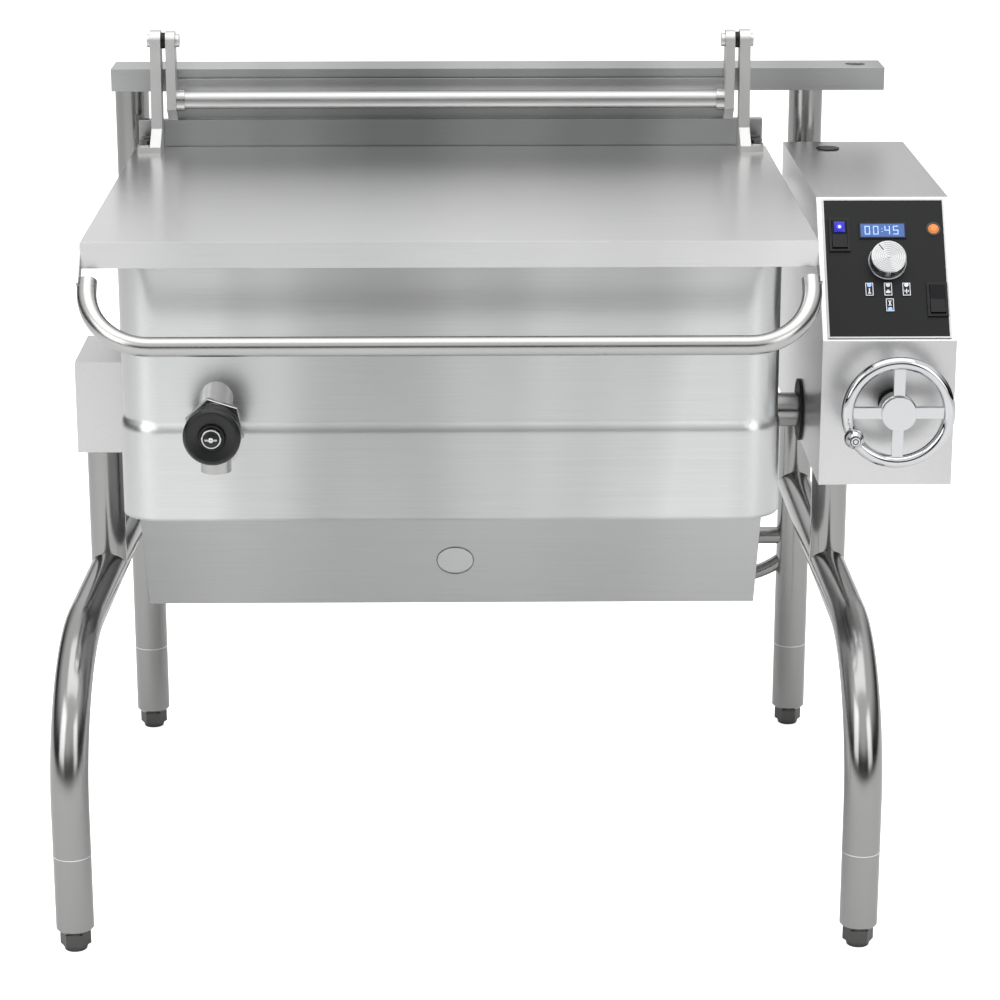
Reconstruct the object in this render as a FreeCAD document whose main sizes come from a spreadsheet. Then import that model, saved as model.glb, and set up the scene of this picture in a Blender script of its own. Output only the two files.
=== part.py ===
import FreeCAD, Part
import math
import os
import sys
from types import SimpleNamespace

import Sketcher
from FreeCAD import Placement, Rotation, Vector

# Tilting skillet (braising pan), in millimetres. +X is the operator's right, +Y points
# to the back and +Z up. Y is 0 at the front feet and X is 0 at the middle of the pan;
# every finished piece is then moved so that the origin lies under the middle of the whole.

# Driving sizes, one cell each in the sheet
SIZES = {
    # stand
    "tube_diameter": 50.8,
    "tube_wall": 2.0,
    "left_leg_inset": 16.0,
    "right_leg_inset": 49.0,
    "left_leg_splay": 24.0,
    "right_leg_splay": 7.0,
    "rear_leg_setback": 838.0,
    "rail_height": 402.0,
    "leg_bend_radius": 200.0,
    "cross_tube_diameter": 26.7,
    "cross_tube_height": 316.0,
    "brace_drop": 68.0,
    "brace_bend_radius": 130.0,
    "brace_bend_angle": 49.0,
    "brace_radius": 11.0,
    "sleeve_top": 136.0,
    "sleeve_taper": 6.0,
    "foot_height": 25.0,
    "foot_flats": 36.0,
    "foot_pad_height": 7.0,
    "foot_pad_radius": 15.0,
    "stud_radius": 8.0,
    "stud_length": 60.0,
    # fits
    "running_clearance": 0.05,
    "seat_gap": 0.3,
    "hole_clearance": 0.5,
    # rear shelf with its tap hole
    "shelf_right_reach": 115.0,
    "shelf_lead": 30.0,
    "shelf_depth": 76.0,
    "shelf_bottom": 1030.0,
    "shelf_height": 34.0,
    "sheet_thickness": 2.0,
    "tap_hole_diameter": 30.0,
    "tap_hole_inset": 40.0,
    # trunnions and tilting gear
    "trunnion_setback": 430.0,
    "trunnion_height": 632.0,
    "trunnion_diameter": 48.3,
    "trunnion_wall": 5.0,
    "trunnion_bracket_half": 62.0,
    "bracket_floor_gap": 2.5,
    "bearing_width": 36.0,
    "bearing_standoff": 8.0,
    "bearing_half_depth": 45.0,
    "bearing_rise": 40.0,
    "seal_diameter": 88.0,
    "seal_thickness": 4.0,
    "gear_module": 3.0,
    "gear_teeth": 38,
    "gear_width": 14.0,
    "gear_hub_radius": 36.0,
    "gear_teeth_front": 2.5,
    "gear_teeth_back": 11.5,
    "worm_pitch_radius": 18.0,
    "worm_turns": 5.0,
    "worm_shaft_radius": 9.0,
    "worm_shaft_overrun": 8.0,
    "worm_plate_front": 80.0,
    "worm_plate_back": 68.0,
    "worm_plate_thickness": 12.0,
    "worm_plate_half_width": 28.0,
    "worm_plate_cap": 20.0,
    # pan
    "pan_half_width": 437.0,
    "pan_front": 115.0,
    "pan_depth": 673.0,
    "pan_bottom": 566.0,
    "pan_corner_radius": 50.0,
    "casing_step": 3.0,
    "casing_step_height": 688.0,
    "casing_step_rise": 12.0,
    "casing_thickness": 1.5,
    "rim_thickness": 4.0,
    "rim_overhang": 13.0,
    "well_margin": 28.0,
    "well_wall": 2.5,
    "well_floor": 680.0,
    "floor_plate_thickness": 16.0,
    "heater_width": 50.0,
    "heater_thickness": 14.0,
    "heater_count": 6,
    "heater_end_inset": 30.0,
    "heater_side_inset": 80.0,
    # heater trough under the pan
    "trough_side_inset": 22.0,
    "trough_end_inset": 13.0,
    "trough_slope_run": 77.0,
    "trough_depth": 147.0,
    "trough_lip": 12.0,
    "access_disc_diameter": 49.0,
    # draw-off valve
    "valve_side_inset": 129.0,
    "valve_rise": 26.0,
    "valve_diameter": 48.0,
    "valve_neck_radius": 22.0,
    "valve_neck_lift": 6.0,
    "valve_neck_slope": 20.0,
    "valve_bore_radius": 19.0,
    "valve_front": 56.0,
    "valve_seat_setback": 125.0,
    "valve_seat_radius": 13.0,
    "valve_plug_radius": 15.0,
    "valve_plug_thickness": 7.0,
    "spout_setback": 80.0,
    "spout_radius": 20.0,
    "spout_wall": 3.5,
    "bonnet_flats": 40.0,
    "bonnet_thickness": 14.0,
    "spout_drop": 61.0,
    "valve_knob_diameter": 75.0,
    "valve_knob_thickness": 22.0,
    "valve_knob_front": 18.0,
    "valve_stem_radius": 6.0,
    # lid
    "lid_side_overhang": 38.0,
    "lid_front_overhang": 35.0,
    "lid_back_inset": 3.0,
    "lid_top": 950.0,
    "lid_skirt": 34.0,
    "lid_thickness": 1.5,
    "handle_diameter": 25.4,
    "handle_side_inset": 10.0,
    "handle_reach": 140.0,
    "handle_start": 40.0,
    "handle_tab_thickness": 3.0,
    "handle_tab_half_width": 11.0,
    "handle_tab_back": 12.0,
    "handle_bend": 85.0,
    "handle_drop_angle": 44.0,
    "handle_root_inset": 12.0,
    "handle_root_drop": 19.0,
    # lid hinge
    "pivot_rise": 160.0,
    "pivot_pin_radius": 6.0,
    "arm_side_inset": 27.0,
    "arm_thickness": 16.0,
    "arm_foot_length": 63.0,
    "arm_foot_flange": 18.0,
    "arm_foot_thickness": 10.0,
    "bolt_radius": 8.5,
    "bolt_head_height": 8.0,
    "bolt_inset": 16.0,
    "bracket_gap": 7.0,
    "bracket_thickness": 14.0,
    "hinge_eye_radius": 15.0,
    "hinge_rail_depth": 16.0,
    "hinge_rail_rise": 40.0,
    "hinge_rail_height": 90.0,
    "hinge_rail_end_inset": 5.0,
    "bracket_waist": 19.0,
    "bracket_shoulder": 12.0,
    "spring_tube_radius": 13.5,
    "spring_tube_drop": 89.0,
    "collar_wall": 3.0,
    "collar_length": 12.0,
    "torsion_bar_flats": 14.0,
    "guard_rise": 60.0,
    # control console
    "console_gap": 61.0,
    "console_width": 180.0,
    "console_front": 190.0,
    "console_back": 750.0,
    "console_drop": 42.0,
    "panel_foot_height": 790.0,
    "panel_angle": 54.0,
    "panel_length": 212.0,
    "overlay_margin": 8.0,
    "overlay_thickness": 1.5,
    "knob_radius": 25.0,
    "knob_height": 18.0,
    "rocker_width": 20.0,
    "rocker_length": 40.0,
    "lamp_radius": 7.0,
    "display_width": 60.0,
    "display_height": 20.0,
    "plug_radius": 15.0,
    # left bearing cover
    "cover_gap": 21.0,
    "cover_width": 66.0,
    "cover_half_depth": 80.0,
    "cover_drop": 38.0,
    "cover_rise": 92.0,
    # handwheel
    "wheel_inset": 96.0,
    "wheel_setback": 130.0,
    "wheel_mean_radius": 67.5,
    "wheel_rim_radius": 8.5,
    "wheel_hub_radius": 23.0,
    "wheel_hub_length": 34.0,
    "spoke_width": 15.0,
    "spoke_thickness": 8.0,
    "crank_angle": 203.0,
    "crank_length": 38.0,
    "crank_radius": 11.0,
    "crank_pin_radius": 4.0,
}

doc = FreeCAD.newDocument("TiltingSkillet")
sheet = doc.addObject("Spreadsheet::Sheet", "Sizes")
for row, (alias, amount) in enumerate(SIZES.items(), start=1):
    sheet.set(f"A{row}", alias.replace("_", " "))
    sheet.set(f"B{row}", str(amount))
    sheet.setAlias(f"B{row}", alias)
doc.recompute()


class Size:
    """A length of the model: the expression that drives it, and its value now."""

    def __init__(self, text, value):
        self.text = text
        self.value = float(value)

    def _join(self, sign, other, value, swapped=False):
        first, second = (as_size(other), self) if swapped else (self, as_size(other))
        return Size(f"({first.text} {sign} {second.text})", value)

    def __add__(self, other):
        return self._join("+", other, self.value + as_size(other).value)

    def __radd__(self, other):
        return self._join("+", other, as_size(other).value + self.value, swapped=True)

    def __sub__(self, other):
        return self._join("-", other, self.value - as_size(other).value)

    def __rsub__(self, other):
        return self._join("-", other, as_size(other).value - self.value, swapped=True)

    def __mul__(self, other):
        return self._join("*", other, self.value * as_size(other).value)

    def __rmul__(self, other):
        return self._join("*", other, as_size(other).value * self.value, swapped=True)

    def __truediv__(self, other):
        return self._join("/", other, self.value / as_size(other).value)

    def __neg__(self):
        return Size(f"(0 - {self.text})", -self.value)


def as_size(amount):
    return amount if isinstance(amount, Size) else Size(repr(float(amount)), amount)


def sine(angle):
    return Size(f"sin({angle.text})", math.sin(math.radians(angle.value)))


def cosine(angle):
    return Size(f"cos({angle.text})", math.cos(math.radians(angle.value)))


s = SimpleNamespace(**{alias: Size(f"Sizes.{alias}", amount) for alias, amount in SIZES.items()})

# Sizes that follow from the driving ones
tube_radius = s.tube_diameter / 2
pan_back = s.pan_front + s.pan_depth
s.cover_inner_face = s.pan_half_width + s.cover_gap
s.cover_outer_face = s.cover_inner_face + s.cover_width
s.cover_bottom = s.trunnion_height - s.cover_drop
s.cover_top = s.trunnion_height + s.cover_rise
s.console_left = s.pan_half_width + s.console_gap
s.console_bottom = s.trunnion_height - s.console_drop
s.wheel_offset = s.console_left + s.wheel_inset
s.trough_half_width = s.pan_half_width - s.trough_side_inset
s.trough_front_top = s.pan_front + s.trough_end_inset
s.trough_back_top = pan_back - s.trough_end_inset
s.trough_bottom = s.pan_bottom - s.trough_depth
s.lid_half_width = s.pan_half_width + s.lid_side_overhang
s.lid_front = s.pan_front - s.lid_front_overhang
s.lid_back = pan_back - s.lid_back_inset
s.handle_half_width = s.lid_half_width - s.handle_side_inset
s.handle_root_setback = s.lid_front + s.handle_root_inset
s.handle_root_height = s.lid_top - s.handle_root_drop
s.pivot_setback = s.lid_back
s.pivot_height = s.lid_top + s.pivot_rise
s.arm_outer_face = s.lid_half_width - s.arm_side_inset
s.arm_foot_front = s.lid_back - s.arm_foot_length
s.hinge_rail_top = s.lid_top + s.hinge_rail_rise
s.guard_top = s.hinge_rail_top + s.guard_rise
s.spring_tube_height = s.pivot_height - s.spring_tube_drop
s.valve_offset = s.pan_half_width - s.valve_side_inset
s.valve_height = s.well_floor + s.valve_rise
s.spout_bottom = s.valve_height - s.spout_drop
s.shelf_front = s.rear_leg_setback - s.shelf_lead
rim_top = s.lid_top - s.lid_thickness - s.seat_gap
rim_bottom = rim_top - s.rim_thickness
pivot_reach = s.arm_outer_face - s.arm_thickness
bracket_outer = pivot_reach - s.bracket_gap
bracket_inner = bracket_outer - s.bracket_thickness
console_right = s.console_left + s.console_width
panel_run = s.panel_length * cosine(s.panel_angle)
panel_rise = s.panel_length * sine(s.panel_angle)
console_top = s.panel_foot_height + panel_rise
gear_pitch_radius = s.gear_module * s.gear_teeth / 2
worm_height = s.trunnion_height + gear_pitch_radius + s.worm_pitch_radius
gear_pitch = s.gear_module * math.pi
tooth_angle = as_size(360) / s.gear_teeth
sector_start = -s.gear_teeth_front * tooth_angle
sector_sweep = (s.gear_teeth_front + s.gear_teeth_back) * tooth_angle
sector_end = s.gear_teeth_back * tooth_angle
trunnion_end = s.wheel_offset + s.gear_width / 2 + 6
shelf_back = s.shelf_front + s.shelf_depth

# The legs' places along X by side: the left line is -1 and the right one 1
front_line = {-1: s.left_leg_inset - s.cover_outer_face, 1: s.console_left + s.right_leg_inset}
rear_line = {-1: front_line[-1] + s.left_leg_splay, 1: front_line[1] - s.right_leg_splay}
middle_x = (console_right + front_line[-1] - tube_radius) / 2
middle_y = (shelf_back - tube_radius) / 2

ACROSS, UP = Vector(1, 0, 0), Vector(0, 0, 1)
AXES = {"X": Rotation(Vector(0, 1, 0), 90), "Y": Rotation(Vector(1, 0, 0), -90), "Z": Rotation()}
PRIMITIVES = ("Part::Box", "Part::Cylinder", "Part::Cone", "Part::Torus")
places = {}
nodes = []


def bind(item, **sizes):
    for name, amount in sizes.items():
        amount = as_size(amount)
        setattr(item, name, amount.value)
        item.setExpression(name, amount.text)


def locate(item, x, y, z, rotation=None):
    base = [as_size(amount) for amount in (x, y, z)]
    item.Placement = Placement(Vector(*[amount.value for amount in base]), rotation or Rotation())
    for axis, amount in zip("xyz", base):
        item.setExpression(f"Placement.Base.{axis}", amount.text)


def place_turned(item, x, y, z, axis, angle):
    locate(item, x, y, z, Rotation(axis, angle.value))
    item.setExpression("Placement.Rotation.Angle", angle.text)


def box(name, x_range, y_range, z_range):
    item = doc.addObject("Part::Box", name)
    bind(item, Length=x_range[1] - x_range[0], Width=y_range[1] - y_range[0],
         Height=z_range[1] - z_range[0])
    places[item.Name] = (x_range[0], y_range[0], z_range[0], None)
    locate(item, *places[item.Name])
    return item


def rod(name, axis, radius, span, middle):
    """A cylinder along X, Y or Z, from span[0] to span[1]; middle is its other two places."""
    item = doc.addObject("Part::Cylinder", name)
    bind(item, Radius=radius, Height=span[1] - span[0])
    first, second = middle
    corner = {"X": (span[0], first, second), "Y": (first, span[0], second),
              "Z": (first, second, span[0])}[axis]
    places[item.Name] = (*corner, AXES[axis])
    locate(item, *places[item.Name])
    return item


def cone(name, axis, radii, span, middle):
    item = doc.addObject("Part::Cone", name)
    bind(item, Radius1=radii[0], Radius2=radii[1], Height=span[1] - span[0])
    first, second = middle
    corner = {"X": (span[0], first, second), "Y": (first, span[0], second),
              "Z": (first, second, span[0])}[axis]
    places[item.Name] = (*corner, AXES[axis])
    locate(item, *places[item.Name])
    return item


def fuse(name, *pieces):
    item = doc.addObject("Part::MultiFuse", name)
    item.Shapes = list(pieces)
    item.Refine = True
    return item


def cut(name, base, *tools):
    item = doc.addObject("Part::Cut", name)
    item.Base = base
    item.Tool = tools[0] if len(tools) == 1 else fuse(name + "_tools", *tools)
    return item


def group(name, *pieces):
    item = doc.addObject("Part::Compound", name)
    item.Links = list(pieces)
    return item


def tube(name, axis, radius, wall, span, middle):
    inside = (span[0] - 1, span[1] + 1)
    return cut(name, rod(name + "_outside", axis, radius, span, middle),
               rod(name + "_bore", axis, as_size(radius) - wall, inside, middle))


def node(label, item, x=0, y=0, z=0, angle=None, axis=ACROSS):
    """Names a finished piece and moves it into the frame of the whole object."""
    rotation = None
    if item.TypeId in PRIMITIVES and item.Name in places:
        x, y, z, rotation = places[item.Name]
    if angle:
        place_turned(item, x - middle_x, y - middle_y, z, axis, angle)
    else:
        locate(item, x - middle_x, y - middle_y, z, rotation)
    item.Label = label
    nodes.append(item)
    return item


def sketch_on(body, name, plane, offset=0):
    """A sketch on one of the body's own origin planes, moved along that plane's normal."""
    sketch = body.newObject("Sketcher::SketchObject", name)
    support = [part for part in body.Origin.OriginFeatures if part.Role == plane + "_Plane"][0]
    sketch.AttachmentSupport = [(support, "")]
    sketch.MapMode = "FlatFace"
    offset = as_size(offset)
    sketch.AttachmentOffset = Placement(Vector(0, 0, offset.value), Rotation())
    sketch.setExpression("AttachmentOffset.Base.z", offset.text)
    return sketch


def dimension(sketch, kind, places_on, amount):
    amount = as_size(amount)
    index = sketch.addConstraint(Sketcher.Constraint(kind, *places_on, amount.value))
    sketch.setExpression(f"Constraints[{index}]", amount.text)


def pin_point(sketch, edge, corner, x, y):
    dimension(sketch, "DistanceX", (-1, 1, edge, corner), x)
    dimension(sketch, "DistanceY", (-1, 1, edge, corner), y)


def draw_polygon(sketch, points):
    corners = [Vector(as_size(x).value, as_size(y).value, 0) for x, y in points]
    for index, corner in enumerate(corners):
        following = corners[(index + 1) % len(corners)]
        sketch.addGeometry(Part.LineSegment(corner, following), False)
    for index in range(len(corners)):
        following = (index + 1) % len(corners)
        sketch.addConstraint(Sketcher.Constraint("Coincident", index, 2, following, 1))
    for index, (x, y) in enumerate(points):
        pin_point(sketch, index, 1, x, y)


def draw_circle(sketch, x, y, radius):
    x, y, radius = as_size(x), as_size(y), as_size(radius)
    centre = Vector(x.value, y.value, 0)
    edge = sketch.addGeometry(Part.Circle(centre, Vector(0, 0, 1), radius.value), False)
    dimension(sketch, "Radius", (edge,), radius)
    pin_point(sketch, edge, 3, x, y)


def draw_rounded_rectangle(sketch, left, right, low, high, radius):
    left, right, low, high = [as_size(amount) for amount in (left, right, low, high)]
    radius = as_size(radius)
    x0, x1, y0, y1, r = left.value, right.value, low.value, high.value, radius.value
    sides = [(x0 + r, y0, x1 - r, y0), (x1, y0 + r, x1, y1 - r),
             (x1 - r, y1, x0 + r, y1), (x0, y1 - r, x0, y0 + r)]
    corners = [(x1 - r, y0 + r, -90), (x1 - r, y1 - r, 0), (x0 + r, y1 - r, 90),
               (x0 + r, y0 + r, 180)]
    for (ax, ay, bx, by), (cx, cy, start) in zip(sides, corners):
        sketch.addGeometry(Part.LineSegment(Vector(ax, ay, 0), Vector(bx, by, 0)), False)
        turn = Part.Circle(Vector(cx, cy, 0), Vector(0, 0, 1), r)
        first = math.radians(start)
        sketch.addGeometry(Part.ArcOfCircle(turn, first, first + math.pi / 2), False)
    for side in range(0, 8, 2):
        sketch.addConstraint(Sketcher.Constraint("Tangent", side, 2, side + 1, 1))
        sketch.addConstraint(Sketcher.Constraint("Tangent", side + 1, 2, (side + 2) % 8, 1))
        level = "Horizontal" if side in (0, 4) else "Vertical"
        sketch.addConstraint(Sketcher.Constraint(level, side))
    for arc in (3, 5, 7):
        sketch.addConstraint(Sketcher.Constraint("Equal", 1, arc))
    dimension(sketch, "Radius", (1,), radius)
    dimension(sketch, "DistanceY", (-1, 1, 0, 1), low)
    dimension(sketch, "DistanceX", (-1, 1, 2, 1), right)
    dimension(sketch, "DistanceY", (-1, 1, 4, 1), high)
    dimension(sketch, "DistanceX", (-1, 1, 6, 1), left)


def prism(name, plane, draw, low, high):
    """A body padded from one sketch. low and high are its places along the plane's normal axis."""
    body = doc.addObject("PartDesign::Body", name)
    start = -as_size(high) if plane == "XZ" else low
    sketch = sketch_on(body, name + "_outline", plane, start)
    draw(sketch)
    pad = body.newObject("PartDesign::Pad", name + "_pad")
    pad.Profile = sketch
    bind(pad, Length=as_size(high) - low)
    return body


def profile(name, plane, points, low, high):
    return prism(name, plane, lambda sketch: draw_polygon(sketch, points), low, high)


def rounded_slab(name, half_width, front, back, radius, low, high):
    def draw(sketch):
        draw_rounded_rectangle(sketch, -half_width, half_width, front, back, radius)
    return prism(name, "XY", draw, low, high)


def turned(name, points, plane="XZ"):
    """A body of revolution about the vertical sketch axis; points are (radius, height)."""
    body = doc.addObject("PartDesign::Body", name)
    sketch = sketch_on(body, name + "_section", plane)
    draw_polygon(sketch, points)
    turn = body.newObject("PartDesign::Revolution", name + "_turn")
    turn.Profile = sketch
    turn.ReferenceAxis = (sketch, ["V_Axis"])
    turn.Angle = 360
    return body


def bent_tube(name, plane, offset, run_points, radius, ring_plane, ring, outer, wall):
    """A tube swept along straight runs joined by arcs of one radius.

    run_points are the corners of the path in the plane's own coordinates, and ring is
    (offset, x, y) of the tube's section on ring_plane at the path's start.
    """
    body = doc.addObject("PartDesign::Body", name)
    path = sketch_on(body, name + "_path", plane, offset)
    points = [(as_size(x), as_size(y)) for x, y in run_points]
    spots = [Vector(x.value, y.value, 0) for x, y in points]
    radius = as_size(radius)
    trims = [0.0]
    for before, at, after in zip(spots, spots[1:], spots[2:]):
        turn = (at - before).getAngle(after - at)
        trims.append(radius.value * math.tan(turn / 2))
    trims.append(0.0)
    for index, (start, end) in enumerate(zip(spots, spots[1:])):
        way = (end - start).normalize()
        first = start + way * trims[index]
        last = end - way * trims[index + 1]
        path.addGeometry(Part.LineSegment(first, last), False)
    for index in range(1, len(spots) - 1):
        way_in = (spots[index] - spots[index - 1]).normalize()
        way_out = (spots[index + 1] - spots[index]).normalize()
        side = 1 if way_in.cross(way_out).z > 0 else -1
        entry = spots[index] - way_in * trims[index]
        exit_point = spots[index] + way_out * trims[index]
        centre = entry + Vector(-way_in.y, way_in.x, 0) * side * radius.value
        circle = Part.Circle(centre, Vector(0, 0, 1), radius.value)
        angles = [math.atan2(p.y - centre.y, p.x - centre.x) for p in (entry, exit_point)]
        if side < 0:
            angles.reverse()
        if angles[1] < angles[0]:
            angles[1] += 2 * math.pi
        arc = path.addGeometry(Part.ArcOfCircle(circle, *angles), False)
        ends = (1, 2) if side > 0 else (2, 1)
        path.addConstraint(Sketcher.Constraint("Tangent", index - 1, 2, arc, ends[0]))
        path.addConstraint(Sketcher.Constraint("Tangent", arc, ends[1], index, 1))
        dimension(path, "Radius", (arc,), radius)
    runs = len(spots) - 1
    for index in range(runs):
        for corner, spot in ((index, 1), (index + 1, 2)):
            x, y = points[corner]
            if corner in (0, runs):
                pin_point(path, index, spot, x, y)
    for index in range(runs):
        (ax, ay), (bx, by) = points[index], points[index + 1]
        if abs(ax.value - bx.value) < 1e-9:
            path.addConstraint(Sketcher.Constraint("Vertical", index))
            if 0 < index < runs - 1:
                dimension(path, "DistanceX", (-1, 1, index, 1), ax)
        elif abs(ay.value - by.value) < 1e-9:
            path.addConstraint(Sketcher.Constraint("Horizontal", index))
            if 0 < index < runs - 1:
                dimension(path, "DistanceY", (-1, 1, index, 1), ay)
    section = sketch_on(body, name + "_section", ring_plane, ring[0])
    draw_circle(section, ring[1], ring[2], outer)
    if wall is not None:
        draw_circle(section, ring[1], ring[2], as_size(outer) - wall)
    doc.recompute()
    pipe = body.newObject("PartDesign::AdditivePipe", name + "_pipe")
    pipe.Profile = section
    pipe.Spine = (path, [f"Edge{count + 1}" for count in range(len(path.Geometry))])
    return body


def side_span(side, near, far):
    """The range along X from near to far on the right (side 1) or mirrored to the left (-1)."""
    return (near, far) if side > 0 else (-as_size(far), -as_size(near))


SIDES = {"left": -1, "right": 1}


# Stand

def rail_slant(side):
    """How far a side rail turns from straight back, in degrees about the vertical."""
    shift = front_line[side] - rear_line[side]
    return Size(f"atan2({shift.text}; {s.rear_leg_setback.text}) / 1 deg",
                math.degrees(math.atan2(shift.value, s.rear_leg_setback.value)))


def make_front_legs():
    """Each front leg bends back at its top and runs on as the side rail to the rear leg."""
    for name, side in SIDES.items():
        slant = rail_slant(side)
        reach = s.rear_leg_setback / cosine(slant)
        corners = [(0, s.sleeve_top), (0, s.rail_height), (reach, s.rail_height)]
        swept = bent_tube(f"{name}_rail_tube", "YZ", 0, corners, s.leg_bend_radius,
                          "XY", (s.sleeve_top, 0, 0), tube_radius, s.tube_wall)
        rear = rod(f"{name}_rail_cope", "Z", tube_radius, (0, s.shelf_bottom), (0, reach))
        node(f"{name}_front_leg_rail", cut(f"{name}_rail", swept, rear), front_line[side], 0, 0,
             slant, UP)


def make_rear_legs():
    top = s.shelf_bottom + s.shelf_height - s.sheet_thickness
    for name, side in SIDES.items():
        leg = tube(f"{name}_rear_tube", "Z", tube_radius, s.tube_wall, (s.sleeve_top, top),
                   (rear_line[side], s.rear_leg_setback))
        node(f"{name}_rear_leg", leg)


def make_cross_tube():
    """The tube between the rear legs, with a bowed bar under it that rises into each leg."""
    cross = tube("cross_tube_blank", "X", s.cross_tube_diameter / 2, s.tube_wall,
                 (rear_line[-1], rear_line[1]), (s.rear_leg_setback, s.cross_tube_height))
    height = s.cross_tube_height - s.brace_drop
    inset = s.brace_bend_radius * sine(s.brace_bend_angle)
    pieces = [rod("brace_run", "X", s.brace_radius, (rear_line[-1] + inset, rear_line[1] - inset),
                  (s.rear_leg_setback, height))]
    for name, side in SIDES.items():
        bend = doc.addObject("Part::Torus", f"{name}_brace_bend")
        bind(bend, Radius1=s.brace_bend_radius, Radius2=s.brace_radius, Angle3=s.brace_bend_angle)
        aside = Rotation(Vector(0, 0, -1), Vector(side, 0, 0), Vector(0, -side, 0), "XYZ")
        locate(bend, rear_line[side] - side * inset, s.rear_leg_setback,
               height + s.brace_bend_radius, aside)
        pieces.append(bend)
    copes = [rod(f"cross_cope_{name}", "Z", tube_radius, (0, s.shelf_bottom),
                 (rear_line[side], s.rear_leg_setback)) for name, side in SIDES.items()]
    braces = cut("brace", fuse("brace_blank", *pieces), *copes)
    ends = [rod(f"cross_end_{name}", "Z", tube_radius, (0, s.shelf_bottom),
                (rear_line[side], s.rear_leg_setback)) for name, side in SIDES.items()]
    node("rear_cross_tube", group("cross_pair", cut("cross_tube", cross, *ends), braces))


def make_posts():
    """An upright stands on each side rail and carries one trunnion bearing."""
    tops = {"left": s.cover_bottom, "right": s.console_bottom}
    for name, side in SIDES.items():
        slant = rail_slant(side)
        x = (front_line[side] + (rear_line[side] - front_line[side])
             * (s.trunnion_setback / s.rear_leg_setback))
        post = tube(f"{name}_post_tube", "Z", tube_radius, s.tube_wall,
                    (s.rail_height, tops[name]), (x, s.trunnion_setback))
        rail = group(f"{name}_post_cope",
                     rod(f"{name}_post_cope_rod", "Y", tube_radius,
                         (0, s.rear_leg_setback), (0, s.rail_height)))
        place_turned(rail, front_line[side], 0, 0, UP, slant)
        node(f"{name}_post", cut(f"{name}_post_coped", post, rail))


def leg_places():
    """Each leg's place on the floor, in the order left front, left rear, right front, right rear."""
    places_found = []
    for side in (-1, 1):
        places_found += [(front_line[side], as_size(0)), (rear_line[side], s.rear_leg_setback)]
    return places_found


def make_feet():
    low = s.foot_height + s.seat_gap
    bore = s.stud_radius + s.running_clearance
    bore_top = s.foot_height + s.stud_length + s.seat_gap
    sleeves = []
    names = ["foot_front_left", "foot_rear_left", "foot_front_right", "foot_rear_right"]
    for name, (x, y) in zip(names, leg_places()):
        section = [(bore, low), (tube_radius - s.sleeve_taper, low),
                   (tube_radius, low + s.sleeve_taper), (tube_radius, s.sleeve_top),
                   (0, s.sleeve_top), (0, bore_top), (bore, bore_top)]
        sleeve = turned(f"{name}_sleeve", section)
        locate(sleeve, x, y, 0)
        sleeves.append(sleeve)
        nut = doc.addObject("Part::Prism", f"{name}_hexagon")
        nut.Polygon = 6
        bind(nut, Circumradius=s.foot_flats / math.sqrt(3),
             Height=s.foot_height - s.foot_pad_height)
        locate(nut, 0, 0, s.foot_pad_height)
        pad = cone(f"{name}_pad", "Z", (s.foot_pad_radius, s.foot_pad_radius + 2),
                   (0, s.foot_pad_height), (0, 0))
        stud = rod(f"{name}_stud", "Z", s.stud_radius,
                   (s.foot_pad_height, s.foot_height + s.stud_length), (0, 0))
        node(name, fuse(f"{name}_solid", nut, pad, stud), x, y)
    node("leg_sleeves", group("sleeve_group", *sleeves))


def make_shelf():
    x_range = (rear_line[-1] - tube_radius - s.seat_gap - s.sheet_thickness,
               rear_line[1] + s.shelf_right_reach)
    y_range = (s.shelf_front, shelf_back)
    top = s.shelf_bottom + s.shelf_height
    wall = s.sheet_thickness
    outside = box("shelf_outside", x_range, y_range, (s.shelf_bottom, top))
    inside = box("shelf_inside", (x_range[0] + wall, x_range[1] - wall),
                 (y_range[0] + wall, y_range[1] - wall), (s.shelf_bottom - 1, top - wall))
    hole = rod("tap_hole", "Z", s.tap_hole_diameter / 2, (s.shelf_bottom, top + 1),
               (x_range[1] - s.tap_hole_inset, s.shelf_front + s.shelf_depth / 2))
    node("rear_shelf", cut("shelf", outside, inside, hole))


# Trunnion bearings, their covers and the console

def make_bearings():
    floors = {"left": s.cover_bottom, "right": s.console_bottom}
    bearings, seals = [], []
    for name, side in SIDES.items():
        base = floors[name] + s.sheet_thickness
        wall = s.cover_inner_face if side < 0 else s.console_left
        near = wall + s.sheet_thickness + s.bearing_standoff
        span = side_span(side, near, near + s.bearing_width)
        top = s.trunnion_height + s.bearing_rise
        block = box(f"{name}_bearing_block", span,
                    (s.trunnion_setback - s.bearing_half_depth,
                     s.trunnion_setback + s.bearing_half_depth), (base, top))
        bore = rod(f"{name}_bearing_bore", "X", s.trunnion_diameter / 2 + s.running_clearance,
                   (span[0] - 1, span[1] + 1), (s.trunnion_setback, s.trunnion_height))
        bearings.append(cut(f"{name}_bearing", block, bore))
        face = side_span(side, wall - s.seal_thickness, wall)
        disc = rod(f"{name}_seal_disc", "X", s.seal_diameter / 2, face,
                   (s.trunnion_setback, s.trunnion_height))
        hole = rod(f"{name}_seal_hole", "X", s.trunnion_diameter / 2 + s.running_clearance,
                   (face[0] - 1, face[1] + 1), (s.trunnion_setback, s.trunnion_height))
        seals.append(cut(f"{name}_seal", disc, hole))
    node("trunnion_bearings", group("bearing_pair", *bearings))
    node("trunnion_seals", group("seal_pair", *seals))


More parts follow.
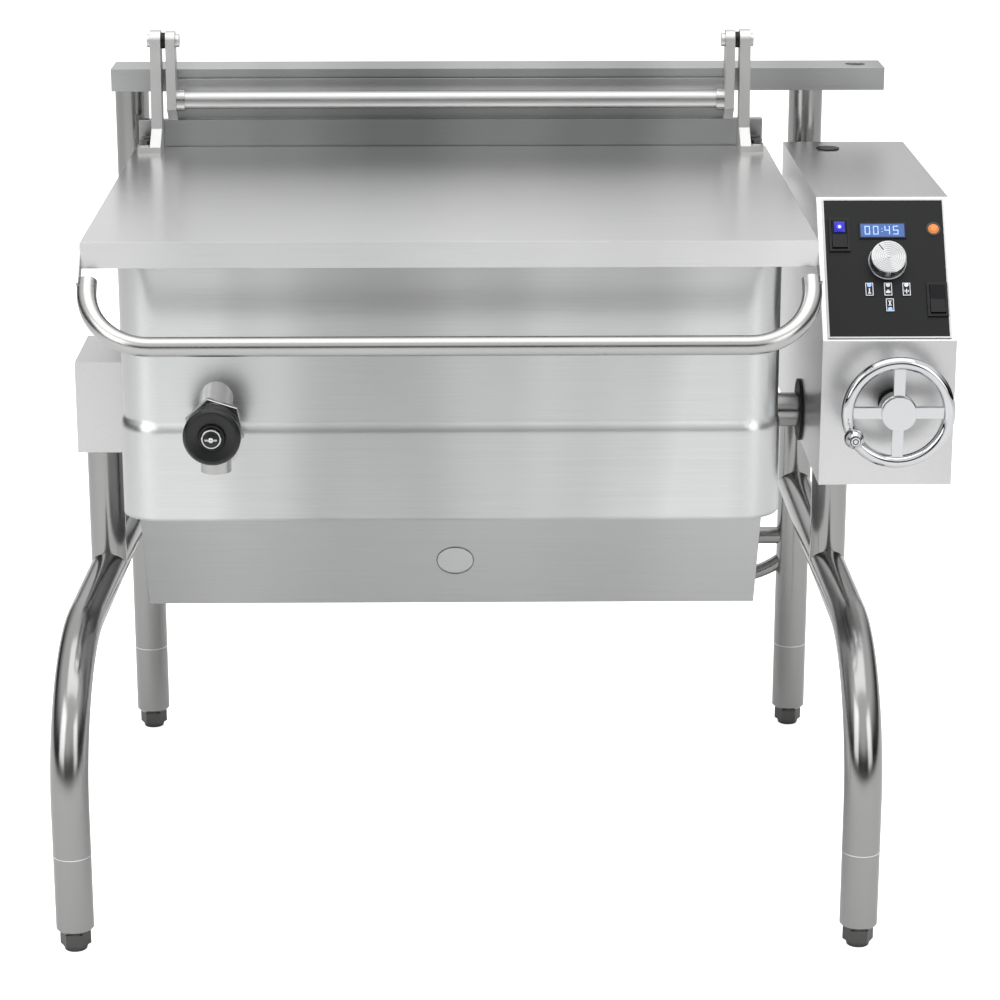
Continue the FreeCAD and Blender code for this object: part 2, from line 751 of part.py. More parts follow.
def make_bearing_cover():
    wall = s.sheet_thickness
    x_range = (-s.cover_outer_face, -s.cover_inner_face)
    y_range = (s.trunnion_setback - s.cover_half_depth, s.trunnion_setback + s.cover_half_depth)
    outside = box("cover_outside", x_range, y_range, (s.cover_bottom, s.cover_top))
    inside = box("cover_inside", (x_range[0] + wall, x_range[1] - wall),
                 (y_range[0] + wall, y_range[1] - wall),
                 (s.cover_bottom + wall, s.cover_top - wall))
    hole = rod("cover_hole", "X", s.trunnion_diameter / 2 + 4,
               (x_range[1] - wall - 1, x_range[1] + 1), (s.trunnion_setback, s.trunnion_height))
    node("left_bearing_cover", cut("bearing_cover", outside, inside, hole))


# Places on the sloping panel: (along X, up the slope) from its lower left corner
ROCKERS = {"power": (0.16, 0.73), "tilt_lock": (0.87, 0.28)}
DIAL = (0.51, 0.54)
DISPLAY = (0.486, 0.76)
LAMP = (0.872, 0.77)
KEYS = [(0.365, 0.352), (0.505, 0.352), (0.643, 0.352), (0.513, 0.244)]
ROCKER_SIDE_GAP = 0.5
ROCKER_END_GAP = 1.2
SWITCH_WALL = 1.5
SWITCH_DEPTH = 20.0
SWITCH_POCKET = 9.0
BEZEL_LIP = 2.0
BEZEL_HEIGHT = 2.5
ROCKER_DEPTH = 4.0
ROCKER_PIVOT_DEPTH = 1.0
ROCKER_PIN_RADIUS = 1.6
ROCKER_PIN_REACH = 1.2
DIAL_SHAFT_RADIUS = 3.0
DIAL_SHAFT_DEPTH = 12.0


def panel_spot(spot):
    return spot[0] * s.console_width, spot[1] * s.panel_length


def around(spot, half_x, half_y):
    x, y = panel_spot(spot)
    return (x - half_x, x + half_x), (y - half_y, y + half_y)


def on_panel(label, item):
    return node(label, item, s.console_left, s.console_front, s.panel_foot_height,
                s.panel_angle)


def switch_half_sizes(extra=0.0):
    return (s.rocker_width / 2 + ROCKER_SIDE_GAP + extra,
            s.rocker_length / 2 + ROCKER_END_GAP + extra)


def panel_windows(name, low, high):
    """The cut-outs of the switches and the dial shaft, as one tool in panel coordinates."""
    cuts = []
    for switch, spot in ROCKERS.items():
        cuts.append(box(f"{name}_{switch}", *around(spot, *switch_half_sizes(SWITCH_WALL)),
                        (low, high)))
    x, y = panel_spot(DIAL)
    cuts.append(rod(f"{name}_dial", "Z", DIAL_SHAFT_RADIUS + s.running_clearance,
                    (low, high), (x, y)))
    return fuse(f"{name}_windows", *cuts)


def console_outline(wall=None):
    """The console's side view; with a wall, the same view that much smaller all round."""
    front, foot, low = s.console_front, s.panel_foot_height, s.console_bottom
    crest, back, top = s.console_front + panel_run, s.console_back, console_top
    if wall is not None:
        foot = foot - wall * (1 - sine(s.panel_angle)) / cosine(s.panel_angle)
        crest = crest + wall * (1 - cosine(s.panel_angle)) / sine(s.panel_angle)
        front, back, low, top = front + wall, back - wall, low + wall, top - wall
    return [(front, low), (back, low), (back, top), (crest, top), (front, foot)]


def make_console():
    wall = s.sheet_thickness
    outside = profile("console_outside", "YZ", console_outline(), s.console_left, console_right)
    inside = profile("console_inside", "YZ", console_outline(wall), s.console_left + wall,
                     console_right - wall)
    trunnion = rod("console_trunnion_hole", "X", s.trunnion_diameter / 2 + 4,
                   (s.console_left - 1, s.console_left + wall + 1),
                   (s.trunnion_setback, s.trunnion_height))
    shaft = rod("console_shaft_hole", "Y", s.worm_shaft_radius + 3,
                (s.console_front - 1, s.console_front + wall + 1), (s.wheel_offset, worm_height))
    plug = rod("console_plug_hole", "Z", s.plug_radius, (console_top - wall - 1, console_top + 1),
               (s.console_left + s.console_width / 3, s.console_back - 60))
    windows = panel_windows("console", -wall - 3, 3)
    locate(windows, s.console_left, s.console_front, s.panel_foot_height,
           Rotation(Vector(1, 0, 0), s.panel_angle.value))
    windows.setExpression("Placement.Rotation.Angle", s.panel_angle.text)
    node("console_housing", cut("console", outside, inside, trunnion, shaft, plug, windows))
    stem = rod("plug_stem", "Z", s.plug_radius, (console_top - wall - 3, console_top),
               (s.console_left + s.console_width / 3, s.console_back - 60))
    head = rod("plug_head", "Z", s.plug_radius + 2, (console_top, console_top + 1.5),
               (s.console_left + s.console_width / 3, s.console_back - 60))
    node("console_hole_plug", fuse("hole_plug", stem, head))


def make_panel():
    lift = s.overlay_thickness
    margin = s.overlay_margin
    plate = box("overlay_plate", (margin, s.console_width - margin),
                (margin / 2, s.panel_length - margin / 2), (0, lift))
    on_panel("control_panel", cut("overlay", plate, panel_windows("overlay", -1, lift + 1)))
    window = box("display_glass", *around(DISPLAY, s.display_width / 2, s.display_height / 2),
                 (lift, lift + 1.5))
    on_panel("display_window", group("display", window))
    x, y = panel_spot(LAMP)
    on_panel("indicator_lamp", fuse("lamp", cone("lamp_lens", "Z", (s.lamp_radius, 4.5),
                                                 (lift, lift + 4), (x, y)),
                                    rod("lamp_rim", "Z", s.lamp_radius + 1.5, (lift, lift + 1),
                                        (x, y))))
    keys = [box(f"key_{count}", *around(spot, 6, 10), (lift, lift + 0.8))
            for count, spot in enumerate(KEYS)]
    on_panel("touch_keys", group("key_group", *keys))


def make_switches():
    lift = s.overlay_thickness
    frames = []
    for name, spot in ROCKERS.items():
        shell = box(f"{name}_shell", *around(spot, *switch_half_sizes(SWITCH_WALL)),
                    (-SWITCH_DEPTH, lift))
        lip = box(f"{name}_lip", *around(spot, *switch_half_sizes(SWITCH_WALL + BEZEL_LIP)),
                  (lift, lift + BEZEL_HEIGHT))
        pocket = box(f"{name}_pocket", *around(spot, *switch_half_sizes()),
                     (-SWITCH_POCKET, lift + BEZEL_HEIGHT + 1))
        x, y = panel_spot(spot)
        half_x = switch_half_sizes(SWITCH_WALL + 1)[0]
        pin_hole = rod(f"{name}_pin_hole", "X", ROCKER_PIN_RADIUS + s.running_clearance,
                       (x - half_x, x + half_x), (y, -ROCKER_PIVOT_DEPTH))
        frames.append(cut(f"{name}_body", fuse(f"{name}_case", shell, lip), pocket, pin_hole))
        half = s.rocker_length / 2
        crown = lift + BEZEL_HEIGHT + 2.5
        section = [(y - half, -ROCKER_DEPTH), (y + half, -ROCKER_DEPTH), (y + half, crown),
                   (y, crown - 2.5), (y - half, crown)]
        paddle = profile(f"{name}_paddle", "YZ", section, x - s.rocker_width / 2,
                         x + s.rocker_width / 2)
        pin_half = switch_half_sizes(ROCKER_PIN_REACH)[0]
        pin = rod(f"{name}_rocker_pin", "X", ROCKER_PIN_RADIUS, (x - pin_half, x + pin_half),
                  (y, -ROCKER_PIVOT_DEPTH))
        on_panel(f"{name}_rocker", fuse(f"{name}_rocker_solid", paddle, pin))
    on_panel("switch_frames", group("frame_pair", *frames))


def make_dial():
    lift = s.overlay_thickness
    x, y = panel_spot(DIAL)
    low = lift + s.seat_gap
    cap = cone("dial_cap", "Z", (s.knob_radius, s.knob_radius - 1.5),
               (low, low + s.knob_height), (x, y))
    shaft = rod("dial_shaft", "Z", DIAL_SHAFT_RADIUS, (-DIAL_SHAFT_DEPTH, low + 1), (x, y))
    on_panel("timer_dial", fuse("dial", cap, shaft))
    wall = s.sheet_thickness
    case = box("encoder_case", (x - 12, x + 12), (y - 12, y + 12),
               (-wall - DIAL_SHAFT_DEPTH, -wall))
    bore = rod("encoder_bore", "Z", DIAL_SHAFT_RADIUS + s.running_clearance,
               (-DIAL_SHAFT_DEPTH - s.seat_gap, 0), (x, y))
    on_panel("dial_encoder", cut("encoder", case, bore))


# Tilting gear inside the console

TOOTH_HALF_AT_ROOT = 0.25
TOOTH_HALF_AT_TIP = 0.10
ROOT_DEPTH = 1.25
TIP_HEIGHT = 0.9


def make_tilt_gear():
    body = doc.addObject("PartDesign::Body", "tilt_gear_solid")
    root = gear_pitch_radius - ROOT_DEPTH * s.gear_module
    tip = gear_pitch_radius + TIP_HEIGHT * s.gear_module
    blank = sketch_on(body, "gear_blank", "YZ", -s.gear_width / 2)
    draw_circle(blank, 0, 0, root)
    draw_circle(blank, 0, 0, s.trunnion_diameter / 2)
    disc = body.newObject("PartDesign::Pad", "gear_disc")
    disc.Profile = blank
    bind(disc, Length=s.gear_width)
    tooth = sketch_on(body, "gear_tooth", "YZ", -s.gear_width / 2)
    wide, thin = TOOTH_HALF_AT_ROOT * gear_pitch, TOOTH_HALF_AT_TIP * gear_pitch
    draw_polygon(tooth, [(-wide, root - 1), (wide, root - 1), (wide, root), (thin, tip),
                         (-thin, tip), (-wide, root)])
    one = body.newObject("PartDesign::Pad", "one_tooth")
    one.Profile = tooth
    bind(one, Length=s.gear_width)
    doc.recompute()
    pattern = body.newObject("PartDesign::PolarPattern", "all_teeth")
    pattern.Originals = [one]
    pattern.Axis = (blank, ["N_Axis"])
    pattern.Angle = 360
    pattern.Occurrences = int(SIZES["gear_teeth"])
    pattern.setExpression("Occurrences", s.gear_teeth.text)
    body.Tip = pattern
    # Only the teeth that pass the worm are kept, so the gear clears the console's floor
    edges = [sector_start, sector_start + sector_sweep / 3, sector_end - sector_sweep / 3,
             sector_end]
    far = tip * 1.4
    wedge = profile("sector_wedge", "YZ",
                    [(0, 0)] + [(far * sine(edge), far * cosine(edge)) for edge in edges],
                    -s.gear_width, s.gear_width)
    sector = doc.addObject("Part::MultiCommon", "gear_sector")
    sector.Shapes = [body, wedge]
    hub = tube("gear_hub", "X", s.gear_hub_radius, s.gear_hub_radius - s.trunnion_diameter / 2,
               (-s.gear_width / 2, s.gear_width / 2), (0, 0))
    node("tilt_gear", fuse("tilt_gear_whole", sector, hub), s.wheel_offset,
         s.trunnion_setback, s.trunnion_height)


def make_worm():
    """The thread is set so that it lies in the gaps of the gear when the pan is level."""
    body = doc.addObject("PartDesign::Body", "worm_solid")
    root = s.worm_pitch_radius - ROOT_DEPTH * s.gear_module
    tip = s.worm_pitch_radius + TIP_HEIGHT * s.gear_module
    length = gear_pitch * s.worm_turns
    core = sketch_on(body, "worm_core", "XY", -gear_pitch)
    draw_circle(core, 0, 0, root)
    barrel = body.newObject("PartDesign::Pad", "worm_barrel")
    barrel.Profile = core
    bind(barrel, Length=length + 2 * gear_pitch)
    section = sketch_on(body, "thread_section", "XZ")
    wide, thin = TOOTH_HALF_AT_ROOT * gear_pitch, TOOTH_HALF_AT_TIP * gear_pitch
    draw_polygon(section, [(root - 1, -wide), (root, -wide), (tip, -thin), (tip, thin),
                           (root, wide), (root - 1, wide)])
    doc.recompute()
    thread = body.newObject("PartDesign::AdditiveHelix", "worm_thread")
    thread.Profile = section
    thread.ReferenceAxis = (section, ["V_Axis"])
    thread.Mode = 0
    bind(thread, Pitch=gear_pitch, Height=length)
    start = s.trunnion_setback + gear_pitch / 4 - 3 * gear_pitch
    shaft_end = (s.trunnion_setback + s.worm_plate_back + s.worm_plate_thickness
                 + s.worm_shaft_overrun)
    shaft = rod("worm_shaft_rod", "Z", s.worm_shaft_radius,
                (s.wheel_setback - start, shaft_end - start), (0, 0))
    node("worm_shaft", fuse("worm_shaft_solid", body, shaft), s.wheel_offset, start, worm_height,
         Size("-90", -90))


def make_worm_bearings():
    plates = []
    half, thick = s.worm_plate_half_width, s.worm_plate_thickness
    for name, y in (("front", s.trunnion_setback - s.worm_plate_front),
                    ("rear", s.trunnion_setback + s.worm_plate_back)):
        plate = box(f"worm_plate_{name}", (s.wheel_offset - half, s.wheel_offset + half),
                    (y, y + thick),
                    (s.console_bottom + s.sheet_thickness, worm_height + s.worm_plate_cap))
        bore = rod(f"worm_plate_bore_{name}", "Y", s.worm_shaft_radius + s.running_clearance,
                   (y - 1, y + thick + 1), (s.wheel_offset, worm_height))
        plates.append(cut(f"worm_bearing_{name}", plate, bore))
    node("worm_bearings", group("worm_bearing_group", *plates))
    flange = rod("bush_flange", "Y", s.worm_shaft_radius + 11,
                 (s.console_front - 8, s.console_front), (s.wheel_offset, worm_height))
    spigot = rod("bush_spigot", "Y", s.worm_shaft_radius + 3,
                 (s.console_front, s.console_front + s.sheet_thickness + 4),
                 (s.wheel_offset, worm_height))
    bore = rod("bush_bore", "Y", s.worm_shaft_radius + s.running_clearance,
               (s.console_front - 9, s.console_front + 20), (s.wheel_offset, worm_height))
    node("shaft_bush", cut("bush", fuse("bush_blank", flange, spigot), bore))


def make_handwheel():
    """Built facing up (its face towards +Z), then turned to face the operator."""
    upright = Size("90", 90)
    rim = doc.addObject("Part::Torus", "wheel_rim")
    bind(rim, Radius1=s.wheel_mean_radius, Radius2=s.wheel_rim_radius)
    hub = rod("wheel_hub", "Z", s.wheel_hub_radius,
              (-s.wheel_hub_length + 10, 10), (0, 0))
    half, thick = s.spoke_width / 2, s.spoke_thickness / 2
    spokes = [box("spoke_across", (-s.wheel_mean_radius, s.wheel_mean_radius), (-half, half),
                  (-thick, thick)),
              box("spoke_upright", (-half, half), (-s.wheel_mean_radius, s.wheel_mean_radius),
                  (-thick, thick))]
    wheel = fuse("wheel_blank", rim, hub, *spokes)
    bore = rod("wheel_bore", "Z", s.worm_shaft_radius, (-s.wheel_hub_length, 0), (0, 0))
    node("handwheel", cut("wheel", wheel, bore), s.wheel_offset, s.wheel_setback, worm_height,
         upright)
    x = s.wheel_mean_radius * cosine(s.crank_angle)
    y = s.wheel_mean_radius * sine(s.crank_angle)
    low = s.wheel_rim_radius + s.seat_gap
    high = low + s.crank_length
    pin = rod("crank_pin_rod", "Z", s.crank_pin_radius, (s.wheel_rim_radius - 1, high + 1), (x, y))
    head = rod("crank_pin_head", "Z", s.crank_pin_radius + 2, (high + s.seat_gap, high + 3),
               (x, y))
    rim_seat = doc.addObject("Part::Torus", "crank_pin_seat")
    bind(rim_seat, Radius1=s.wheel_mean_radius, Radius2=s.wheel_rim_radius)
    node("crank_pin", cut("pin", fuse("pin_blank", pin, head), rim_seat),
         s.wheel_offset, s.wheel_setback, worm_height, upright)
    bore = s.crank_pin_radius + s.running_clearance
    wide, slim = s.crank_radius, s.crank_radius * 0.66
    section = [(bore, low), (slim, low), (slim, low + 4), (wide, low + 14), (wide, high - 8),
               (wide * 0.8, high - 2), (wide * 0.45, high), (bore, high)]
    grip = turned("crank_grip_solid", section)
    locate(grip, x, y, 0)
    node("crank_grip", group("crank_grip_placed", grip), s.wheel_offset, s.wheel_setback,
         worm_height, upright)


# Pan

def make_well():
    """The cooking well: a thick floor plate, four sheets and four formed corners, butt-welded."""
    half = s.pan_half_width - s.well_margin
    front, back = s.pan_front + s.well_margin, pan_back - s.well_margin
    radius = s.pan_corner_radius - s.well_margin
    wall = s.well_wall
    outline = (half + wall, front - wall, back + wall, radius + wall)
    plate = rounded_slab("floor_plate", *outline, s.well_floor - s.floor_plate_thickness,
                         s.well_floor)
    outside = rounded_slab("well_outside", *outline, s.well_floor, rim_bottom)
    inside = rounded_slab("well_inside", half, front, back, radius, s.well_floor - 1,
                          rim_top + 1)
    ring = cut("well_ring", outside, inside)
    blocks = []
    for name, side in SIDES.items():
        x_range = side_span(side, half - radius, half + wall + 1)
        for end, y_range in (("front", (front - wall - 1, front + radius)),
                             ("back", (back - radius, back + wall + 1))):
            blocks.append(box(f"well_corner_{name}_{end}", x_range, y_range,
                              (s.well_floor - 1, rim_top)))
    blocks = fuse("well_corner_blocks", *blocks)
    corners = doc.addObject("Part::MultiCommon", "well_corners")
    corners.Shapes = [ring, blocks]
    port = rod("well_port", "Y", s.valve_seat_radius, (front - wall - 1, front + 1),
               (-s.valve_offset, s.valve_height))
    node("pan_well", group("well", plate, cut("well_sheets", ring, blocks, port), corners))
    flange = rounded_slab("rim_outside", s.pan_half_width + s.rim_overhang,
                          s.pan_front - s.rim_overhang, pan_back, s.pan_corner_radius,
                          rim_bottom, rim_top)
    opening = rounded_slab("rim_inside", half, front, back, radius, rim_bottom - 1, rim_top + 1)
    node("well_rim", cut("rim", flange, opening))


def make_casing():
    """The outer skin; its lower part stands out by a small step with a sloping shoulder."""
    wall = s.casing_thickness
    step = s.casing_step
    shoulder = s.casing_step_height + s.casing_step_rise
    body = doc.addObject("PartDesign::Body", "casing_solid")

    def outline(name, height, extra):
        sketch = sketch_on(body, name, "XY", height)
        draw_rounded_rectangle(sketch, -s.pan_half_width - extra, s.pan_half_width + extra,
                               s.pan_front - extra, pan_back + extra,
                               s.pan_corner_radius + extra)
        return sketch

    lower = body.newObject("PartDesign::Pad", "casing_lower")
    lower.Profile = outline("lower_outline", s.pan_bottom, step)
    bind(lower, Length=s.casing_step_height - s.pan_bottom)
    slope = body.newObject("PartDesign::AdditiveLoft", "casing_shoulder")
    slope.Profile = outline("shoulder_low", s.casing_step_height, step)
    slope.Sections = [outline("shoulder_high", shoulder, 0)]
    upper = body.newObject("PartDesign::Pad", "casing_upper")
    upper.Profile = outline("upper_outline", shoulder, 0)
    bind(upper, Length=rim_bottom - shoulder)
    inside = rounded_slab("casing_inside", s.pan_half_width - wall, s.pan_front + wall,
                          pan_back - wall, s.pan_corner_radius - wall, s.pan_bottom + wall,
                          rim_bottom + 1)
    lip = s.trough_lip
    inlet = s.trough_half_width - lip
    trough = box("casing_floor_opening", (-inlet, inlet),
                 (s.trough_front_top + lip, s.trough_back_top - lip),
                 (s.pan_bottom - 1, s.pan_bottom + wall + 1))
    trunnion = rod("casing_trunnion_holes", "X", s.trunnion_diameter / 2 + s.hole_clearance,
                   (-s.pan_half_width - step - 1, s.pan_half_width + step + 1),
                   (s.trunnion_setback, s.trunnion_height))
    valve = rod("casing_valve_hole", "Y", s.valve_diameter / 2 + s.hole_clearance,
                (s.pan_front - step - 1, s.pan_front + wall + 1),
                (-s.valve_offset, s.valve_height))
    node("pan_casing", cut("casing", body, inside, trough, trunnion, valve))


def make_trunnions():
    inner = s.pan_half_width - s.well_margin + s.well_wall
    outer = s.pan_half_width - s.casing_thickness
    ends = {"left": s.cover_outer_face - s.sheet_thickness - 4, "right": trunnion_end}
    spot = (s.trunnion_setback, s.trunnion_height)
    half = s.trunnion_bracket_half
    low = s.pan_bottom + s.casing_thickness + s.bracket_floor_gap
    brackets = []
    for name, side in SIDES.items():
        brackets.append(box(f"{name}_trunnion_bracket", side_span(side, inner, outer),
                            (s.trunnion_setback - half, s.trunnion_setback + half),
                            (low, s.trunnion_height + half)))
        node(f"{name}_trunnion", tube(f"{name}_trunnion_tube", "X", s.trunnion_diameter / 2,
                                      s.trunnion_wall, side_span(side, outer, ends[name]),
                                      spot))
    node("trunnion_brackets", group("trunnion_bracket_group", *brackets))


def make_heaters():
    top = s.well_floor - s.floor_plate_thickness
    inset = s.well_margin + s.heater_end_inset
    front, back = s.pan_front + inset, pan_back - inset
    reach = s.pan_half_width - s.heater_side_inset
    pitch = 2 * reach / (s.heater_count - 1)
    bars = []
    for count in range(int(SIZES["heater_count"])):
        x = count * pitch - reach
        bars.append(box(f"heater_{count}", (x - s.heater_width / 2, x + s.heater_width / 2),
                        (front, back), (top - s.heater_thickness, top)))
    node("heater_bars", group("heater_group", *bars))


def trough_outline(wall=None):
    back_run = s.trough_slope_run
    front, back, low, top = (s.trough_front_top, s.trough_back_top, s.trough_bottom,
                             s.pan_bottom)
    if wall is not None:
        front, back, low, top = front + wall * 1.2, back - wall * 1.2, low + wall, top + 1
    return [(front, top), (front + back_run, low), (back - back_run, low), (back, top)]


def make_trough():
    half = s.trough_half_width
    outside = profile("trough_outside", "YZ", trough_outline(), -half, half)
    inside = profile("trough_inside", "YZ", trough_outline(s.casing_thickness),
                     -half + s.casing_thickness, half - s.casing_thickness)
    node("heater_trough", cut("trough", outside, inside))
    drop = s.pan_bottom - s.trough_bottom
    lean = Size(f"atan2({drop.text}; {s.trough_slope_run.text}) / 1 deg",
                math.degrees(math.atan2(drop.value, s.trough_slope_run.value)))
    disc = rod("access_disc_rod", "Z", s.access_disc_diameter / 2, (0, 1.5), (0, 0))
    turned_disc = group("access_disc", disc)
    node("trough_access_disc", turned_disc, 5, s.trough_front_top + s.trough_slope_run / 2,
         s.pan_bottom - drop / 2, 180 - lean)


def make_hinge_rail():
    half = s.lid_half_width - s.hinge_rail_end_inset
    x_range = (-half, half)
    y_range = (pan_back, pan_back + s.hinge_rail_depth)
    wall = s.sheet_thickness
    low = s.hinge_rail_top - s.hinge_rail_height
    outside = box("hinge_rail_outside", x_range, y_range, (low, s.hinge_rail_top))
    inside = box("hinge_rail_inside", (x_range[0] + wall, x_range[1] - wall),
                 (y_range[0] + wall, y_range[1] - wall), (low - 1, s.hinge_rail_top - wall))
    channel = cut("rail_channel", outside, inside)
    guard = box("hinge_guard_plate", (-bracket_inner, bracket_inner),
                (y_range[1] - wall, y_range[1]), (s.hinge_rail_top - 1, s.guard_top))
    node("hinge_rail", fuse("rail_with_guard", channel, guard))


def make_hinge_brackets():
    """The two uprights of the pan's rail that carry the lid's pivots and the spring tube."""
    eye = s.hinge_eye_radius
    waist, shoulder = s.bracket_waist, s.bracket_shoulder
    back = pan_back + s.hinge_rail_depth
    pivot = (s.pivot_setback, s.pivot_height)
    spring = (s.pivot_setback, s.spring_tube_height)
    brackets = []
    for name, side in SIDES.items():
        span = side_span(side, bracket_inner, bracket_outer)
        section = [(pan_back, s.hinge_rail_top), (back, s.hinge_rail_top),
                   (back, s.spring_tube_height + 2 * shoulder),
                   (s.pivot_setback + eye, s.pivot_height),
                   (s.pivot_setback - eye, s.pivot_height),
                   (s.pivot_setback - waist, s.spring_tube_height + shoulder),
                   (s.pivot_setback - waist, s.spring_tube_height - shoulder)]
        plate = profile(f"{name}_bracket_plate", "YZ", section, *span)
        round_end = rod(f"{name}_bracket_eye", "X", eye, span, pivot)
        pin_hole = rod(f"{name}_bracket_pin_hole", "X", s.pivot_pin_radius,
                       (span[0] - 1, span[1] + 1), pivot)
        tube_hole = rod(f"{name}_bracket_tube_hole", "X", s.spring_tube_radius,
                        (span[0] - 1, span[1] + 1), spring)
        blank = fuse(f"{name}_bracket_blank", plate, round_end)
        brackets.append(cut(f"{name}_bracket", blank, pin_hole, tube_hole))
    node("hinge_brackets", group("bracket_pair", *brackets))


def make_pivots():
    pivot = (s.pivot_setback, s.pivot_height)
    pins, bushes = [], []
    for name, side in SIDES.items():
        shank = rod(f"{name}_pivot_shank", "X", s.pivot_pin_radius,
                    side_span(side, bracket_inner - 4, s.arm_outer_face + 4), pivot)
        head = rod(f"{name}_pivot_head", "X", s.pivot_pin_radius + 4,
                   side_span(side, s.arm_outer_face + s.seat_gap, s.arm_outer_face + 5), pivot)
        nut = rod(f"{name}_pivot_nut", "X", s.pivot_pin_radius + 4,
                  side_span(side, bracket_inner - 6, bracket_inner), pivot)
        pins.append(fuse(f"{name}_pivot_pin", shank, head, nut))
        span = side_span(side, bracket_outer, pivot_reach - s.seat_gap)
        ring = rod(f"{name}_bush_ring", "X", s.pivot_pin_radius + 6, span, pivot)
        hole = rod(f"{name}_bush_hole", "X", s.pivot_pin_radius, (span[0] - 1, span[1] + 1),
                   pivot)
        bushes.append(cut(f"{name}_bush", ring, hole))
    node("pivot_pins", group("pivot_pin_group", *pins))
    node("pivot_bushes", group("pivot_bush_group", *bushes))


def make_spring_tube():
    spot = (s.pivot_setback, s.spring_tube_height)
    end = pivot_reach - 8
    node("spring_tube", tube("spring_tube_pipe", "X", s.spring_tube_radius, s.sheet_thickness,
                             (-end, end), spot))
    collars = []
    for name, side in SIDES.items():
        span = side_span(side, bracket_inner - s.collar_length, bracket_inner)
        collars.append(tube(f"{name}_collar", "X", s.spring_tube_radius + s.collar_wall,
                            s.collar_wall, span, spot))
    node("spring_tube_collars", group("collar_group", *collars))
    half = s.torsion_bar_flats / 2
    bar = box("torsion_bar_rod", (-end, end), (spot[0] - half, spot[0] + half),
              (spot[1] - half, spot[1] + half))
    plugs = [rod(f"torsion_bar_plug_{name}", "X", s.spring_tube_radius - s.sheet_thickness,
                 side_span(side, end - s.collar_length, end), spot)
             for name, side in SIDES.items()]
    node("torsion_bar", fuse("torsion_bar_whole", bar, *plugs))


# Lid

def make_lid():
    wall = s.lid_thickness
    half = s.lid_half_width
    low = s.lid_top - s.lid_skirt
    outside = box("lid_outside", (-half, half), (s.lid_front, s.lid_back), (low, s.lid_top))
    inside = box("lid_inside", (wall - half, half - wall), (s.lid_front + wall, s.lid_back + 1),
                 (low - 1, s.lid_top - wall))
    node("lid_shell", cut("lid", outside, inside))


def make_lid_handle():
    """A full-width bar, drawn flat and then swung down in front of the lid."""
    half, start, reach = s.handle_half_width, s.handle_start, s.handle_reach
    radius = s.handle_diameter / 2
    corners = [(-half, -start), (-half, -reach), (half, -reach), (half, -start)]
    bar = bent_tube("handle_bar", "XY", 0, corners, s.handle_bend, "XZ", (start, -half, 0),
                    radius, s.sheet_thickness)
    tabs = [box(f"handle_tab_{name}", side_span(side, s.lid_half_width,
                                                s.lid_half_width + s.handle_tab_thickness),
                (-start - 10, s.handle_tab_back),
                (-s.handle_tab_half_width, s.handle_tab_half_width))
            for name, side in SIDES.items()]
    node("lid_handle", fuse("handle", bar, *tabs), 0, s.handle_root_setback,
         s.handle_root_height, s.handle_drop_angle)


def make_lid_arms():
    eye = s.hinge_eye_radius + 1
    top, front = s.lid_top, s.arm_foot_front
    pivot = (s.pivot_setback, s.pivot_height)
    bolts = []
    for name, side in SIDES.items():
        span = side_span(side, pivot_reach, s.arm_outer_face)
        section = [(front, top), (s.lid_back, top), (s.lid_back, top + 30),
                   (s.pivot_setback + eye, s.pivot_height),
                   (s.pivot_setback - eye, s.pivot_height), (front + 34, top + 32),
                   (front, top + s.arm_foot_thickness)]
        plate = profile(f"{name}_arm_plate", "YZ", section, *span)
        foot_span = side_span(side, s.arm_outer_face, s.arm_outer_face + s.arm_foot_flange)
        foot = box(f"{name}_arm_foot", foot_span, (front, s.lid_back),
                   (top, top + s.arm_foot_thickness))
        round_end = rod(f"{name}_arm_eye", "X", eye, span, pivot)
        hole = rod(f"{name}_arm_hole", "X", s.pivot_pin_radius + s.running_clearance,
                   (span[0] - 1, span[1] + 1), pivot)
        node(f"{name}_lid_arm", cut(f"{name}_arm", fuse(f"{name}_arm_blank", plate, foot,
                                                        round_end), hole))
        middle = (foot_span[0] + foot_span[1]) / 2
        for y in (front + s.bolt_inset, s.lid_back - s.bolt_inset):
            head = doc.addObject("Part::Prism", f"{name}_arm_bolt")
            head.Polygon = 6
            bind(head, Circumradius=s.bolt_radius, Height=s.bolt_head_height)
            locate(head, middle, y, top + s.arm_foot_thickness)
            bolts.append(head)
    node("lid_arm_bolts", group("arm_bolt_group", *bolts))


# Draw-off valve on the pan's front

